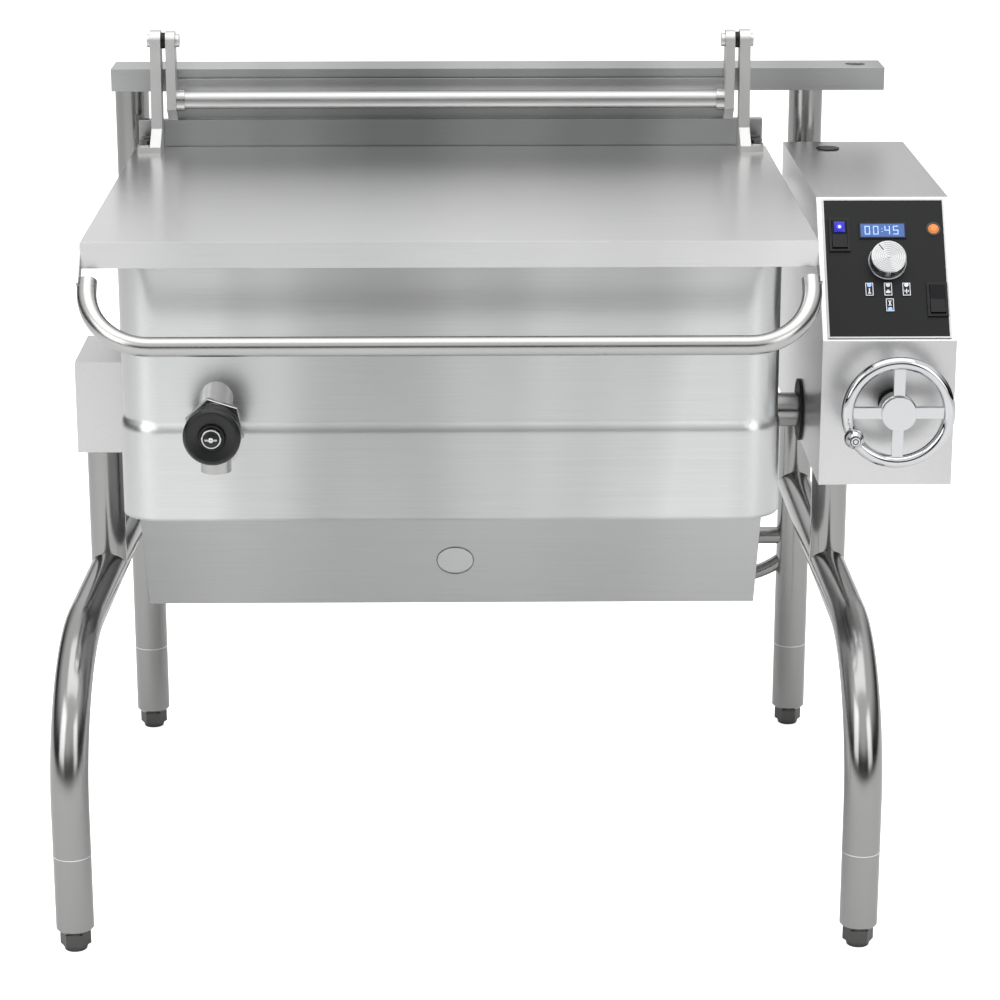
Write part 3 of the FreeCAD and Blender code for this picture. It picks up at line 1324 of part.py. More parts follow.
def make_valve():
    spot = (-s.valve_offset, s.valve_height)
    radius = s.valve_diameter / 2
    wall_face = s.pan_front + s.well_margin - s.well_wall
    barrel = rod("valve_barrel", "Y", radius, (s.valve_front, wall_face), spot)
    # A sloping neck rises over the barrel and ends against the casing
    reach = s.pan_front - s.valve_front
    neck = rod("valve_neck_rod", "Z", s.valve_neck_radius, (-reach, 2 * reach), (0, 0))
    slope = group("valve_neck_turned", neck)
    place_turned(slope, -s.valve_offset, s.valve_front, s.valve_height + s.valve_neck_lift,
                 ACROSS, s.valve_neck_slope - 90)
    near_casing = box("valve_neck_room", (-s.valve_offset - radius, radius - s.valve_offset),
                      (s.valve_front, s.pan_front),
                      (s.valve_height, s.valve_height + 3 * radius))
    trimmed = doc.addObject("Part::MultiCommon", "valve_neck")
    trimmed.Shapes = [slope, near_casing]
    spout_spot = (-s.valve_offset, s.spout_setback)
    spout = rod("valve_spout", "Z", s.spout_radius, (s.spout_bottom, s.valve_height), spout_spot)
    chamber = rod("valve_chamber", "Y", s.valve_bore_radius,
                  (s.valve_front + 4, s.valve_seat_setback), spot)
    seat = rod("valve_seat", "Y", s.valve_seat_radius, (s.valve_seat_setback - 1, wall_face + 1),
               spot)
    outlet = rod("valve_outlet", "Z", s.spout_radius - s.spout_wall,
                 (s.spout_bottom - 1, s.valve_height), spout_spot)
    stem_hole = rod("valve_stem_hole", "Y", s.valve_stem_radius + s.running_clearance,
                    (s.valve_front - 1, s.valve_front + 5), spot)
    blank = fuse("valve_blank", barrel, spout, trimmed)
    node("valve_body", cut("valve", blank, chamber, seat, outlet, stem_hole))
    nut = doc.addObject("Part::Prism", "bonnet_hexagon")
    nut.Polygon = 6
    bind(nut, Circumradius=s.bonnet_flats / math.sqrt(3), Height=s.bonnet_thickness)
    bore = rod("bonnet_bore", "Z", s.valve_stem_radius + s.running_clearance,
               (-1, s.bonnet_thickness + 1), (0, 0))
    node("valve_bonnet", cut("bonnet", nut, bore), -s.valve_offset, s.valve_front,
         s.valve_height, Size("90", 90))
    knob_back = s.valve_knob_front + s.valve_knob_thickness
    closed = s.valve_seat_setback - s.seat_gap
    stem = rod("stem_rod", "Y", s.valve_stem_radius, (s.valve_knob_front - 6, closed - 1), spot)
    plug = rod("stem_plug", "Y", s.valve_plug_radius,
               (closed - s.valve_plug_thickness, closed), spot)
    cap = rod("stem_cap", "Y", s.valve_stem_radius + 3,
              (s.valve_knob_front - 8, s.valve_knob_front - s.seat_gap), spot)
    node("valve_stem", fuse("stem", stem, plug, cap))
    edge = s.valve_knob_diameter / 2
    bore = s.valve_stem_radius + s.running_clearance
    section = [(bore, 0), (14, 0), (edge - 10, 5), (edge - 3, 6), (edge, 9),
               (edge, s.valve_knob_thickness - 5), (edge - 3, s.valve_knob_thickness - 1),
               (edge - 6, s.valve_knob_thickness), (15, s.valve_knob_thickness - 4),
               (bore, s.valve_knob_thickness - 4)]
    knob = turned("valve_knob_solid", section)
    node("valve_knob", knob, -s.valve_offset, knob_back, s.valve_height, Size("90", 90))


for make in (make_front_legs, make_rear_legs, make_cross_tube, make_posts, make_feet, make_shelf, make_bearings,
             make_bearing_cover, make_console, make_panel, make_switches, make_dial,
             make_tilt_gear, make_worm, make_worm_bearings, make_handwheel, make_well,
             make_casing, make_trunnions, make_heaters, make_trough, make_hinge_rail,
             make_hinge_brackets, make_pivots, make_spring_tube, make_lid, make_lid_handle,
             make_lid_arms, make_valve):
    make()
doc.recompute()

broken = [item.Name for item in doc.Objects if {"Invalid", "Error"} & set(item.State)]
broken += [item.Label for item in nodes if item.Shape.isNull() or not item.Shape.isValid()]
if broken:
    sys.exit("These pieces failed: " + ", ".join(broken))

os.makedirs("parts", exist_ok=True)
for item in nodes:
    item.Shape.exportStep(f"parts/{item.Label}.step")
whole = Part.makeCompound([item.Shape for item in nodes]).BoundBox
print(f"{len(nodes)} pieces, {whole.XLength:.1f} x {whole.YLength:.1f} x {whole.ZLength:.1f} mm,",
      f"middle {whole.Center.x:.2f}, {whole.Center.y:.2f}, bottom {whole.ZMin:.2f}")
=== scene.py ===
"""Looks of the tilting skillet: studio, camera, finishes and the small pieces of its trim."""

import logging
import math
from dataclasses import dataclass, field
from enum import Enum
from typing import Any, ClassVar

import bpy
from bpy.types import Material, Node, NodeSocket, NodeTree, Object
from mathutils import Matrix, Vector

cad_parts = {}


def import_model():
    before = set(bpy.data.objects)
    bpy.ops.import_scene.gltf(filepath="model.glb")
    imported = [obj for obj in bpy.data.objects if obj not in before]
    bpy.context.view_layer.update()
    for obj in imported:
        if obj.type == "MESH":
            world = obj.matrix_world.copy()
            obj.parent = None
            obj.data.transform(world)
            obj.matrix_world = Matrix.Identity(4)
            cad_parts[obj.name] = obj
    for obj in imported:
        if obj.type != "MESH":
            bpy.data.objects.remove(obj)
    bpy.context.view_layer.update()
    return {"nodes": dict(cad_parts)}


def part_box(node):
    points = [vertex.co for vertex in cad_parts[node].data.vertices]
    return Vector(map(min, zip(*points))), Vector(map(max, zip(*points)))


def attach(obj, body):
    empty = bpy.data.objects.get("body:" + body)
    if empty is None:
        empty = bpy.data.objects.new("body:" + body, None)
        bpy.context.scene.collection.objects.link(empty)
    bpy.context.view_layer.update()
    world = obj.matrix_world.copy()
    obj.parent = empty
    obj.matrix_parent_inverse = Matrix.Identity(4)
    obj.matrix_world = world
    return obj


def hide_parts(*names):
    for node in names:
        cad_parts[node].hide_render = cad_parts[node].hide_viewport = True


log = logging.getLogger("tilting_skillet")

MM = 0.001


def hex_colour(text: str) -> tuple[float, float, float, float]:
    """Turns an sRGB hex value into a linear colour.

    Args:
        text: Six hexadecimal digits, such as "C9CBCC".

    Returns:
        Red, green, blue and a full alpha.
    """
    parts = [int(text[at:at + 2], 16) / 255 for at in (0, 2, 4)]
    linear = [p / 12.92 if p <= 0.04045 else ((p + 0.055) / 1.055) ** 2.4 for p in parts]
    return (*linear, 1.0)


def add_node(tree: NodeTree, kind: str, settings: dict[str | int, Any] | None = None,
             links: dict[str | int, Node | NodeSocket] | None = None) -> Node:
    """Adds a shader node with its settings and links.

    Args:
        tree: The node tree that gets the node.
        kind: Blender's name of the node type, without its "ShaderNode".
        settings: Values by the name of a property, or the name or place of an input.
        links: Outputs by the name or place of the input that they feed; a node stands for
            its first output.

    Returns:
        The new node.
    """
    made = tree.nodes.new("ShaderNode" + kind)
    for name, value in (settings or {}).items():
        if isinstance(name, str) and hasattr(made, name):
            setattr(made, name, value)
        else:
            made.inputs[name].default_value = value
    for name, source in (links or {}).items():
        output = source.outputs[0] if isinstance(source, Node) else source
        tree.links.new(output, made.inputs[name])
    return made


def set_stops(ramp: Node, colours: list[tuple[float, str]]) -> NodeSocket:
    """Sets a colour ramp's stops.

    Args:
        ramp: The ramp node.
        colours: Each stop's place from 0 to 1, and its hex.

    Returns:
        The ramp's colour socket.
    """
    elements = ramp.color_ramp.elements
    while len(elements) < len(colours):
        elements.new(0.5)
    for stop, (place, colour) in zip(elements, colours):
        stop.position = place
        stop.color = hex_colour(colour)
    return ramp.outputs["Color"]


def in_metres(*points: tuple[float, float], lift: float = 0.0) -> list[tuple[float, float]]:
    """Turns a section drawn in millimetres into metres.

    Args:
        points: The section as (radius, height), in millimetres.
        lift: Height of the section's zero, in metres.

    Returns:
        The section in metres.
    """
    return [(across * MM, lift + along * MM) for across, along in points]


class Grain(Enum):
    """The way the abrasive belt ran over a sheet, as the axis it ran along.

    Each is turned a little off its axis, so that no face looks straight along it.
    """

    ACROSS = (1.0, 0.03, 0.02)
    DEPTH = (0.04, 1.0, 0.05)


@dataclass(frozen=True)
class Finish:
    """One real surface finish.

    Args:
        name: The finish in plain words, as one identifier.
        colour: sRGB hex of the bare surface.
        roughness: How far the surface spreads a reflection.
        edge: Radius that folding, pressing or breaking the edges leaves, in metres.
    """

    name: str
    colour: str
    roughness: float
    edge: float = 0.0
    metallic: ClassVar[float] = 0.0

    def material(self) -> Material:
        """Returns this finish's material, made the first time it is asked for."""
        found = bpy.data.materials.get(self.name)
        if found:
            return found
        made = bpy.data.materials.new(self.name)
        made.use_nodes = True
        tree = made.node_tree
        shader = tree.nodes["Principled BSDF"]
        shader.inputs["Base Color"].default_value = hex_colour(self.colour)
        shader.inputs["Roughness"].default_value = self.roughness
        shader.inputs["Metallic"].default_value = self.metallic
        self.pattern(tree, shader, add_node(tree, "TexCoord").outputs["Object"])
        return made

    def pattern(self, tree: NodeTree, shader: Node, place: NodeSocket) -> None:
        """Adds what the surface shows besides its colour; each kind of finish has its own.

        Args:
            tree: The material's node tree.
            shader: The surface shader.
            place: The object coordinates.
        """

    def vary_roughness(self, tree: NodeTree, shader: Node, source: Node, low: float,
                       high: float) -> None:
        """Lets a pattern change the roughness.

        Args:
            tree: The material's node tree.
            shader: The surface shader.
            source: The pattern, from 0 to 1.
            low: Roughness where the pattern is 0.
            high: Roughness where it is 1.
        """
        made = add_node(tree, "MapRange", {"To Min": low, "To Max": high}, {"Value": source})
        tree.links.new(made.outputs["Result"], shader.inputs["Roughness"])

    def bump(self, tree: NodeTree, shader: Node, source: Node, strength: float,
             height: float) -> None:
        """Raises the surface by a pattern.

        Args:
            tree: The material's node tree.
            shader: The surface shader.
            source: The pattern.
            strength: How much of the bump shows.
            height: Its height in metres.
        """
        made = add_node(tree, "Bump", {"Strength": strength, "Distance": height},
                        {"Height": source})
        if self.edge:
            round_edge = add_node(tree, "Bevel", {"samples": 4, "Radius": self.edge})
            tree.links.new(round_edge.outputs["Normal"], made.inputs["Normal"])
        tree.links.new(made.outputs["Normal"], shader.inputs["Normal"])


@dataclass(frozen=True)
class BrushedSteel(Finish):
    """Stainless sheet finished by an abrasive belt.

    The belt leaves fine parallel lines, so a reflection smears across them. Real lines are
    about 0.1 mm apart; here they are drawn as wide as `line` so that they show.

    Args:
        grain: The axis the belt ran along.
        line: Spacing of the drawn lines, in metres.
        smear: How much longer the reflection is across the lines.
        shade: sRGB hex of the soft darker bands painted into the colour as the sheet's reflection.
        band: Width of those bands, in metres.
    """

    grain: Grain = Grain.ACROSS
    line: float = 1.2 * MM
    smear: float = 0.5
    shade: str = "A9AAAA"
    band: float = 160 * MM
    metallic: ClassVar[float] = 1.0

    def pattern(self, tree: NodeTree, shader: Node, place: NodeSocket) -> None:
        """Draws the belt lines, a painted reflection of soft darker upright bands, and the smeared
        reflection.
        """
        shader.inputs["Anisotropic"].default_value = self.smear
        # a line runs 125 times as long as it is wide
        scale = [0.008 if abs(part) > 0.5 else 1.0 for part in self.grain.value]
        stretched = add_node(tree, "Mapping", {"Scale": scale}, {"Vector": place})
        lines = add_node(tree, "TexNoise",
                         {"Scale": 1 / self.line, "Detail": 2.0, "Roughness": 0.55},
                         {"Vector": stretched})
        self.vary_roughness(tree, shader, lines, self.roughness - 0.015, self.roughness + 0.015)
        # painted reflection: soft upright bands darken the colour where the sheet would mirror the
        # room
        upright = add_node(tree, "Mapping", {"Scale": (1.0, 0.06, 0.1)}, {"Vector": place})
        bands = add_node(tree, "TexNoise",
                         {"Scale": 1 / self.band, "Detail": 1.0, "Roughness": 0.3},
                         {"Vector": upright})
        sheet = add_node(tree, "ValToRGB", links={"Fac": bands})
        fine = add_node(tree, "ValToRGB", links={"Fac": lines})
        tint = add_node(tree, "Mix",
                        {"data_type": "RGBA", "blend_type": "MULTIPLY", 0: 1.0},
                        {6: set_stops(sheet, [(0.32, self.shade), (0.68, self.colour)]),
                         7: set_stops(fine, [(0.3, "F7F7F7"), (0.7, "FFFFFF")])})
        tree.links.new(tint.outputs[2], shader.inputs["Base Color"])
        turn = add_node(tree, "VectorMath",
                        {"operation": "CROSS_PRODUCT", 1: self.grain.value},
                        {0: add_node(tree, "NewGeometry").outputs["Normal"]})
        tree.links.new(turn.outputs["Vector"], shader.inputs["Tangent"])
        self.bump(tree, shader, lines, 0.02, 0.04 * MM)


@dataclass(frozen=True)
class SatinTube(Finish):
    """Stainless tube or turned steel with a fine satin polish, a little cloudy from handling."""

    metallic: ClassVar[float] = 1.0

    def pattern(self, tree: NodeTree, shader: Node, place: NodeSocket) -> None:
        """Draws the satin's uneven gloss."""
        fine = add_node(tree, "TexNoise", {"Scale": 700.0, "Detail": 2.0}, {"Vector": place})
        cloud = add_node(tree, "TexNoise", {"Scale": 14.0, "Detail": 4.0}, {"Vector": place})
        self.vary_roughness(tree, shader, cloud, self.roughness - 0.08, self.roughness + 0.08)
        self.bump(tree, shader, fine, 0.1, 0.05 * MM)


@dataclass(frozen=True)
class SpunAluminium(Finish):
    """Aluminium faced on a lathe: its rings spread each highlight into a fan from the centre.

    Args:
        node: The turned piece, whose middle is the centre of the rings.
        smear: How much longer the reflection is across the rings.
    """

    node: str = "timer_dial"
    smear: float = 0.85
    metallic: ClassVar[float] = 1.0

    def pattern(self, tree: NodeTree, shader: Node, place: NodeSocket) -> None:
        """Turns the highlight outwards from the centre and adds the tool's fine chatter."""
        shader.inputs["Anisotropic"].default_value = self.smear
        outwards = add_node(tree, "VectorMath",
                            {"operation": "SUBTRACT", 1: middle_of(self.node)}, {0: place})
        turn = add_node(tree, "VectorTransform",
                        {"vector_type": "VECTOR", "convert_from": "OBJECT",
                         "convert_to": "WORLD"}, {"Vector": outwards})
        tree.links.new(turn.outputs["Vector"], shader.inputs["Tangent"])
        chatter = add_node(tree, "TexNoise", {"Scale": 900.0, "Detail": 1.0}, {"Vector": place})
        self.vary_roughness(tree, shader, chatter, self.roughness - 0.04, self.roughness + 0.04)


@dataclass(frozen=True)
class ChromePlate(Finish):
    """Polished chrome plate over a casting, whose surface is very slightly wavy."""

    metallic: ClassVar[float] = 1.0

    def pattern(self, tree: NodeTree, shader: Node, place: NodeSocket) -> None:
        """Gives the mirror its slight waves."""
        waves = add_node(tree, "TexNoise", {"Scale": 45.0, "Detail": 1.0}, {"Vector": place})
        self.bump(tree, shader, waves, 0.25, 0.4 * MM)
        self.vary_roughness(tree, shader, waves, self.roughness * 0.6, self.roughness * 1.5)


@dataclass(frozen=True)
class MouldedPlastic(Finish):
    """Moulded plastic with the fine even texture of a spark-eroded mould.

    Args:
        grit: Size of the texture's grains, in metres.
        depth: Height of the texture, in metres.
        gloss: How strongly the plastic mirrors; 0.5 is a plain plastic's.
    """

    grit: float = 0.6 * MM
    depth: float = 0.08 * MM
    gloss: float = 0.5

    def pattern(self, tree: NodeTree, shader: Node, place: NodeSocket) -> None:
        """Draws the mould's grain and the slight gloss differences of handling."""
        shader.inputs["Specular IOR Level"].default_value = self.gloss
        grit = add_node(tree, "TexNoise", {"Scale": 1 / self.grit, "Detail": 1.0},
                        {"Vector": place})
        self.bump(tree, shader, grit, 0.35, self.depth)
        self.vary_roughness(tree, shader, grit, self.roughness - 0.06, self.roughness + 0.06)


@dataclass(frozen=True)
class LitLens(Finish):
    """A lens or window with a lamp behind it.

    Args:
        glow: Strength of its light.
        light: sRGB hex of its light.
    """

    glow: float = 1.0
    light: str = "FFFFFF"

    def pattern(self, tree: NodeTree, shader: Node, place: NodeSocket) -> None:
        """Lets the lamp's light through, a little uneven from the moulded prisms behind."""
        shader.inputs["Emission Strength"].default_value = self.glow
        cells = add_node(tree, "TexVoronoi", {"Scale": 700.0}, {"Vector": place})
        glow = add_node(tree, "ValToRGB", links={"Fac": cells})
        tree.links.new(set_stops(glow, [(0.0, self.light), (1.0, self.colour)]),
                       shader.inputs["Emission Color"])


@dataclass(frozen=True)
class CastMetal(Finish):
    """Cast or machined metal, with the grain that the mould or the tool leaves.

    Args:
        metallic: 1 for bare metal, 0 for a painted casting.
        grain: Size of the casting's grain, in metres.
    """

    metallic: float = 1.0
    grain: float = 2 * MM

    def pattern(self, tree: NodeTree, shader: Node, place: NodeSocket) -> None:
        """Draws the casting's grain."""
        grain = add_node(tree, "TexNoise", {"Scale": 1 / self.grain, "Detail": 4.0},
                         {"Vector": place})
        self.bump(tree, shader, grain, 0.5, 0.3 * MM)
        self.vary_roughness(tree, shader, grain, self.roughness - 0.1, self.roughness + 0.1)


# 304 stainless sheet, belt-brushed: fine lines, a painted reflection of soft upright bands in its
# colour, and edges as the press brake rounds them
LID_SHEET = BrushedSteel("stainless_304_bright_brushed_lid", "EFEFEF", 0.25, 1.2 * MM,
                         smear=0.4, shade="D4D5D5", band=260 * MM)
PAN_SHEET = BrushedSteel("stainless_304_brushed_across", "DEDFDF", 0.3, 8 * MM, shade="B2B3B3")
SHELF_SHEET = BrushedSteel("stainless_304_brushed_shelf", "C2C3C3", 0.3, 1.2 * MM,
                           shade="A2A3A3")
DISC_SHEET = BrushedSteel("stainless_304_brushed_disc", "D0D1D1", 0.3, 0.6 * MM, shade="C2C3C3")
CONSOLE_SHEET = BrushedSteel("stainless_304_brushed_console", "DCDCDC", 0.32, 1.2 * MM,
                             grain=Grain.DEPTH, shade="CCCCCC", band=300 * MM)
TROUGH_SHEET = BrushedSteel("stainless_304_brushed_trough", "CACBCB", 0.36, 1.2 * MM,
                            shade="AEAFAF", band=300 * MM)
# Stainless tube and bar, satin polished: a soft streak along it and dark edges
SATIN_TUBE = SatinTube("stainless_tube_satin_polished", "9E9E9D", 0.2)
BRIGHT_TUBE = SatinTube("stainless_tube_bright_polished", "B6B6B5", 0.24)
RIBBED_TUBE = SatinTube("stainless_tube_ribbed", "BDBDBC", 0.34)
VALVE_CASTING = SatinTube("stainless_casting_polished", "B2B2B1", 0.22)
TURNED_STEEL = SatinTube("stainless_bar_turned", "D2D2D1", 0.42, 1.0 * MM)
BOLT_STEEL = SatinTube("stainless_bolt_plain", "7C7C7B", 0.3, 0.6 * MM)
DARK_HEXAGON = SatinTube("stainless_bar_dark_hexagon", "5C5C5B", 0.32, 1.0 * MM)
# near-white lines round the legs where the sleeves meet them
BRIGHT_LINE = SatinTube("stainless_weld_ground_bright", "F4F4F4", 0.25)
# Chrome plate on a zinc casting: a mirror, so it shows the whole dark and light room
CHROME = ChromePlate("chrome_plate_polished", "CFD0D2", 0.06, 0.8 * MM)
# Moulded black plastics, grey at their edges where they catch the light
BLACK_PHENOLIC = MouldedPlastic("phenolic_moulded_black", "0F1011", 0.34, 0.8 * MM)
BLACK_ABS = MouldedPlastic("abs_moulded_black", "0C0D0E", 0.34, gloss=0.3)
ROCKER_BLACK = MouldedPlastic("polycarbonate_rocker_black", "0B0C10", 0.28, 0.8 * MM,
                              gloss=0.24)
SEAL_RUBBER = MouldedPlastic("epdm_rubber_seal", "131313", 0.55, grit=1.2 * MM)
OVERLAY = MouldedPlastic("polyester_overlay_satin_black", "0C0D0E", 0.45, grit=0.9 * MM,
                         depth=0.03 * MM, gloss=0.28)
# painted highlight: a pale line round the overlay where its raised edge would catch the light
OVERLAY_EDGE_HIGHLIGHT = MouldedPlastic("polyester_overlay_pale_border", "D4D5D5", 0.4, grit=0.9 * MM,
                              depth=0.02 * MM)
# dark fill for the dial's pointer and the lamp's ring; on the grip's end and round the crank pin
# it is painted shade
DARK_FILL_AND_GROOVE_SHADE = MouldedPlastic("dark_filled_groove", "3A3B3C", 0.5)
# Lit windows and lenses: the plastic's own colour, and the lamp's behind it
BLUE_WINDOW = LitLens("acrylic_window_blue_lit", "2C4C8A", 0.2, glow=0.42, light="4E78BE")
FIGURES = LitLens("display_figures_pale_blue", "A9CBF5", 0.4, glow=0.55, light="A6C8F2")
BLUE_LENS = LitLens("polycarbonate_rocker_blue_lit", "16168C", 0.25, glow=0.55, light="2222C8")
BLUE_HALO = LitLens("polycarbonate_halo_blue_lit", "3434E0", 0.25, glow=0.9, light="4A4AFF")
BLUE_SPOT = LitLens("polycarbonate_spot_blue_lit", "A8A8FF", 0.25, glow=1.6, light="D0D0FF")
AMBER_LENS = LitLens("polycarbonate_lens_amber_lit", "B96A2C", 0.25, glow=0.6, light="F0A058")
KEY_WHITE = LitLens("printed_key_outline_white", "DDE0E6", 0.4, glow=0.2, light="E8ECF6")
KEY_BLUE = LitLens("printed_key_dot_blue_lit", "7FA0EC", 0.4, glow=0.9, light="9DB9FA")
# Faced aluminium with a fan of light on it, then bronze, iron and cast metal with their grain
KNOB_ALUMINIUM = SpunAluminium("aluminium_faced_clear_anodised", "B2B3B4", 0.24)
BEARING_BRONZE = CastMetal("tin_bronze_machined", "A98950", 0.35)
CASTING_GREY = CastMetal("grey_iron_painted", "4C4E50", 0.6, metallic=0.0)
HUB_FACE = CastMetal("zinc_casting_faced", "BDBEBF", 0.24, grain=5 * MM)
HEATER_CAST = CastMetal("aluminium_cast_heater", "9D9E9F", 0.5)


@dataclass
class Studio:
    """The photograph's camera, a pale floor and soft studio light.

    Args:
        camera_place: Where the camera stands, in metres.
        pitch: How far it looks down, in degrees.
        yaw: How far it looks to the right, in degrees.
        lens: Focal length for a 36 mm sensor, in millimetres.
        floor_size: Side of the square floor, in metres.
        paper_glow: How far the camera sees the paper brighter than it is.
        lamp_aim: The point that every lamp looks at.
    """

    camera_place: tuple[float, float, float] = (-0.0583, -4.1383, 1.740)
    pitch: float = 16.699
    yaw: float = 0.764
    lens: float = 108.0
    floor_size: float = 40.0
    paper_glow: float = 0.75
    lamp_aim: tuple[float, float, float] = (0.0, 0.0, 0.7)

    def build(self) -> None:
        """Sets up the camera, the floor, the world and the lamps."""
        self.camera()
        self.floor()
        self.world()
        self.lamps()
        bpy.context.scene.view_settings.view_transform = "Standard"
        log.info("studio ready")

    def camera(self) -> None:
        """Creates the camera at the photograph's viewing angle."""
        data = bpy.data.cameras.new("photograph_camera")
        data.lens = self.lens
        data.sensor_width = 36.0
        data.clip_end = 200.0
        camera = bpy.data.objects.new("photograph_camera", data)
        camera.location = self.camera_place
        camera.rotation_euler = (math.radians(90 - self.pitch), 0.0, math.radians(-self.yaw))
        bpy.context.scene.collection.objects.link(camera)
        bpy.context.scene.camera = camera

    def floor(self) -> None:
        """Lays a white floor that keeps the object's soft shadow."""
        bpy.ops.mesh.primitive_plane_add(size=self.floor_size, location=(0, 0, -0.0005))
        floor = bpy.context.object
        floor.name = "studio_floor"
        made = bpy.data.materials.new("seamless_paper_white")
        made.use_nodes = True
        tree = made.node_tree
        shader = tree.nodes["Principled BSDF"]
        shader.inputs["Base Color"].default_value = hex_colour("F4F4F4")
        shader.inputs["Roughness"].default_value = 0.9
        floor.data.materials.append(made)
        path = add_node(tree, "LightPath")
        seen = add_node(tree, "Math", {"operation": "MAXIMUM"},
                        {0: path.outputs["Is Camera Ray"], 1: path.outputs["Is Transmission Ray"]})
        lift = add_node(tree, "Math", {"operation": "MULTIPLY", 1: self.paper_glow}, {0: seen})
        glow = add_node(tree, "Emission", {"Color": hex_colour("FFFFFF")}, {"Strength": lift})
        total = add_node(tree, "AddShader", links={0: shader, 1: glow})
        tree.links.new(total.outputs[0], tree.nodes["Material Output"].inputs["Surface"])

    def world(self) -> None:
        """White behind the object; metal sees a pale room with dark flags and a dark skirting.

        The room's tone is the product of a ramp from side to side and one up the wall, with
        its own ramp for the wall before the object and the wall behind it.
        """
        world = bpy.data.worlds.new("studio_room")
        bpy.context.scene.world = world
        world.use_nodes = True
        tree = world.node_tree
        tree.nodes.clear()
        path = add_node(tree, "LightPath")
        way = add_node(tree, "TexCoord").outputs["Generated"]
        parts = add_node(tree, "SeparateXYZ", links={0: way})
        sides, height, level, before = (
            add_node(tree, "MapRange", {"From Min": first, "From Max": last},
                     {"Value": parts.outputs[axis]})
            for axis, first, last in (("X", -1.0, 1.0), ("Z", 0.2, 0.6), ("Z", -0.2, 0.5),
                                      ("Y", 0.0, -0.3)))
        bands = add_node(tree, "ValToRGB", links={"Fac": sides})
        set_stops(bands, [(0.0, "5A5A5A"), (0.14, "2A2A2A"), (0.26, "9A9A9A"),
                          (0.36, "F4F4F4"), (0.5, "FFFFFF"), (0.62, "BEBEBE"),
                          (0.74, "EDEDED"), (0.84, "8A8A8A"), (0.93, "262626"),
                          (1.0, "5A5A5A")])
        mixed = add_node(tree, "Mix", {"data_type": "RGBA", 7: hex_colour("FFFFFF")},
                         {0: height, 6: bands})
        back = add_node(tree, "ValToRGB", links={"Fac": level})
        set_stops(back, [(0.0, "FFFFFF"), (0.22, "E0E0E0"), (0.27, "303030"),
                         (0.36, "3A3A3A"), (0.46, "F0F0F0"), (1.0, "FFFFFF")])
        front = add_node(tree, "ValToRGB", links={"Fac": level})
        set_stops(front, [(0.0, "FFFFFF"), (0.2, "E0E0E0"), (0.26, "242424"),
                          (0.62, "3A3A3A"), (0.8, "F0F0F0"), (1.0, "FFFFFF")])
        wall = add_node(tree, "Mix", {"data_type": "RGBA"}, {0: before, 6: back, 7: front})
        whole = add_node(tree, "Mix",
                         {"data_type": "RGBA", "blend_type": "MULTIPLY", 0: 1.0},
                         {6: mixed.outputs[2], 7: wall.outputs[2]})
        room = add_node(tree, "Background", {"Strength": 1.0}, {"Color": whole.outputs[2]})
        white = add_node(tree, "Background", {"Strength": 1.0, "Color": hex_colour("FFFFFF")})
        seen = add_node(tree, "MixShader",
                        links={0: path.outputs["Is Camera Ray"], 1: room, 2: white})
        add_node(tree, "OutputWorld", links={0: seen})

    def lamps(self) -> None:
        """Hangs three soft boxes: one over the top, one at each front side."""
        boxes = [("overhead_box", (0.0, -0.6, 4.2), (4.4, 3.4), 58.0),
                 ("left_box", (-3.2, -3.4, 2.6), (2.4, 3.4), 55.0),
                 ("right_box", (3.0, -3.8, 2.2), (2.0, 3.0), 34.0)]
        for name, place, size, power in boxes:
            data = bpy.data.lights.new(name, "AREA")
            data.shape = "RECTANGLE"
            data.size, data.size_y = size
            data.energy = power
            lamp = bpy.data.objects.new(name, data)
            lamp.location = place
            aim = Vector(self.lamp_aim) - Vector(place)
            lamp.rotation_euler = aim.to_track_quat("-Z", "Y").to_euler()
            bpy.context.scene.collection.objects.link(lamp)


@dataclass
class Dresser:
    """Gives every carried-over solid its finish.

    Args:
        nodes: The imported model's solids by name.
        finishes: The finish of each solid by name.
    """

    nodes: dict[str, Object]
    finishes: dict[str, Finish]

    def dress(self) -> None:
        """Puts each finish on its solids."""
        missing = sorted(set(self.nodes) - set(self.finishes))
        if missing:
            raise ValueError(f"no finish for {missing}")
        for name, solid in self.nodes.items():
            solid.data.materials.clear()
            solid.data.materials.append(self.finishes[name].material())
        log.info("%d solids dressed", len(self.nodes))


FINISHES: dict[Finish, str] = {
    LID_SHEET: "lid_shell",
    PAN_SHEET: "pan_casing pan_well well_rim",
    SHELF_SHEET: "rear_shelf hinge_rail",
    DISC_SHEET: "trough_access_disc",
    TROUGH_SHEET: "heater_trough",
    CONSOLE_SHEET: "console_housing left_bearing_cover",
    SATIN_TUBE: "left_front_leg_rail right_front_leg_rail left_rear_leg right_rear_leg "
                "left_post right_post rear_cross_tube leg_sleeves "
                "left_trunnion right_trunnion",
    BRIGHT_TUBE: "lid_handle spring_tube spring_tube_collars",
    VALVE_CASTING: "valve_body valve_stem",
    TURNED_STEEL: "hinge_brackets left_lid_arm right_lid_arm pivot_pins "
                  "trunnion_brackets worm_shaft torsion_bar",
    BOLT_STEEL: "lid_arm_bolts",
    DARK_HEXAGON: "foot_front_left foot_rear_left foot_front_right foot_rear_right",
    CHROME: "handwheel crank_pin crank_grip",
    BLACK_PHENOLIC: "valve_knob valve_bonnet",
    BLACK_ABS: "console_hole_plug switch_frames dial_encoder touch_keys "
               "shaft_bush pivot_bushes",
    ROCKER_BLACK: "power_rocker tilt_lock_rocker",
    SEAL_RUBBER: "trunnion_seals",
    OVERLAY: "control_panel",
    BLUE_WINDOW: "display_window",
    AMBER_LENS: "indicator_lamp",
    KNOB_ALUMINIUM: "timer_dial",
    BEARING_BRONZE: "tilt_gear",
    CASTING_GREY: "trunnion_bearings worm_bearings",
    HEATER_CAST: "heater_bars",
}


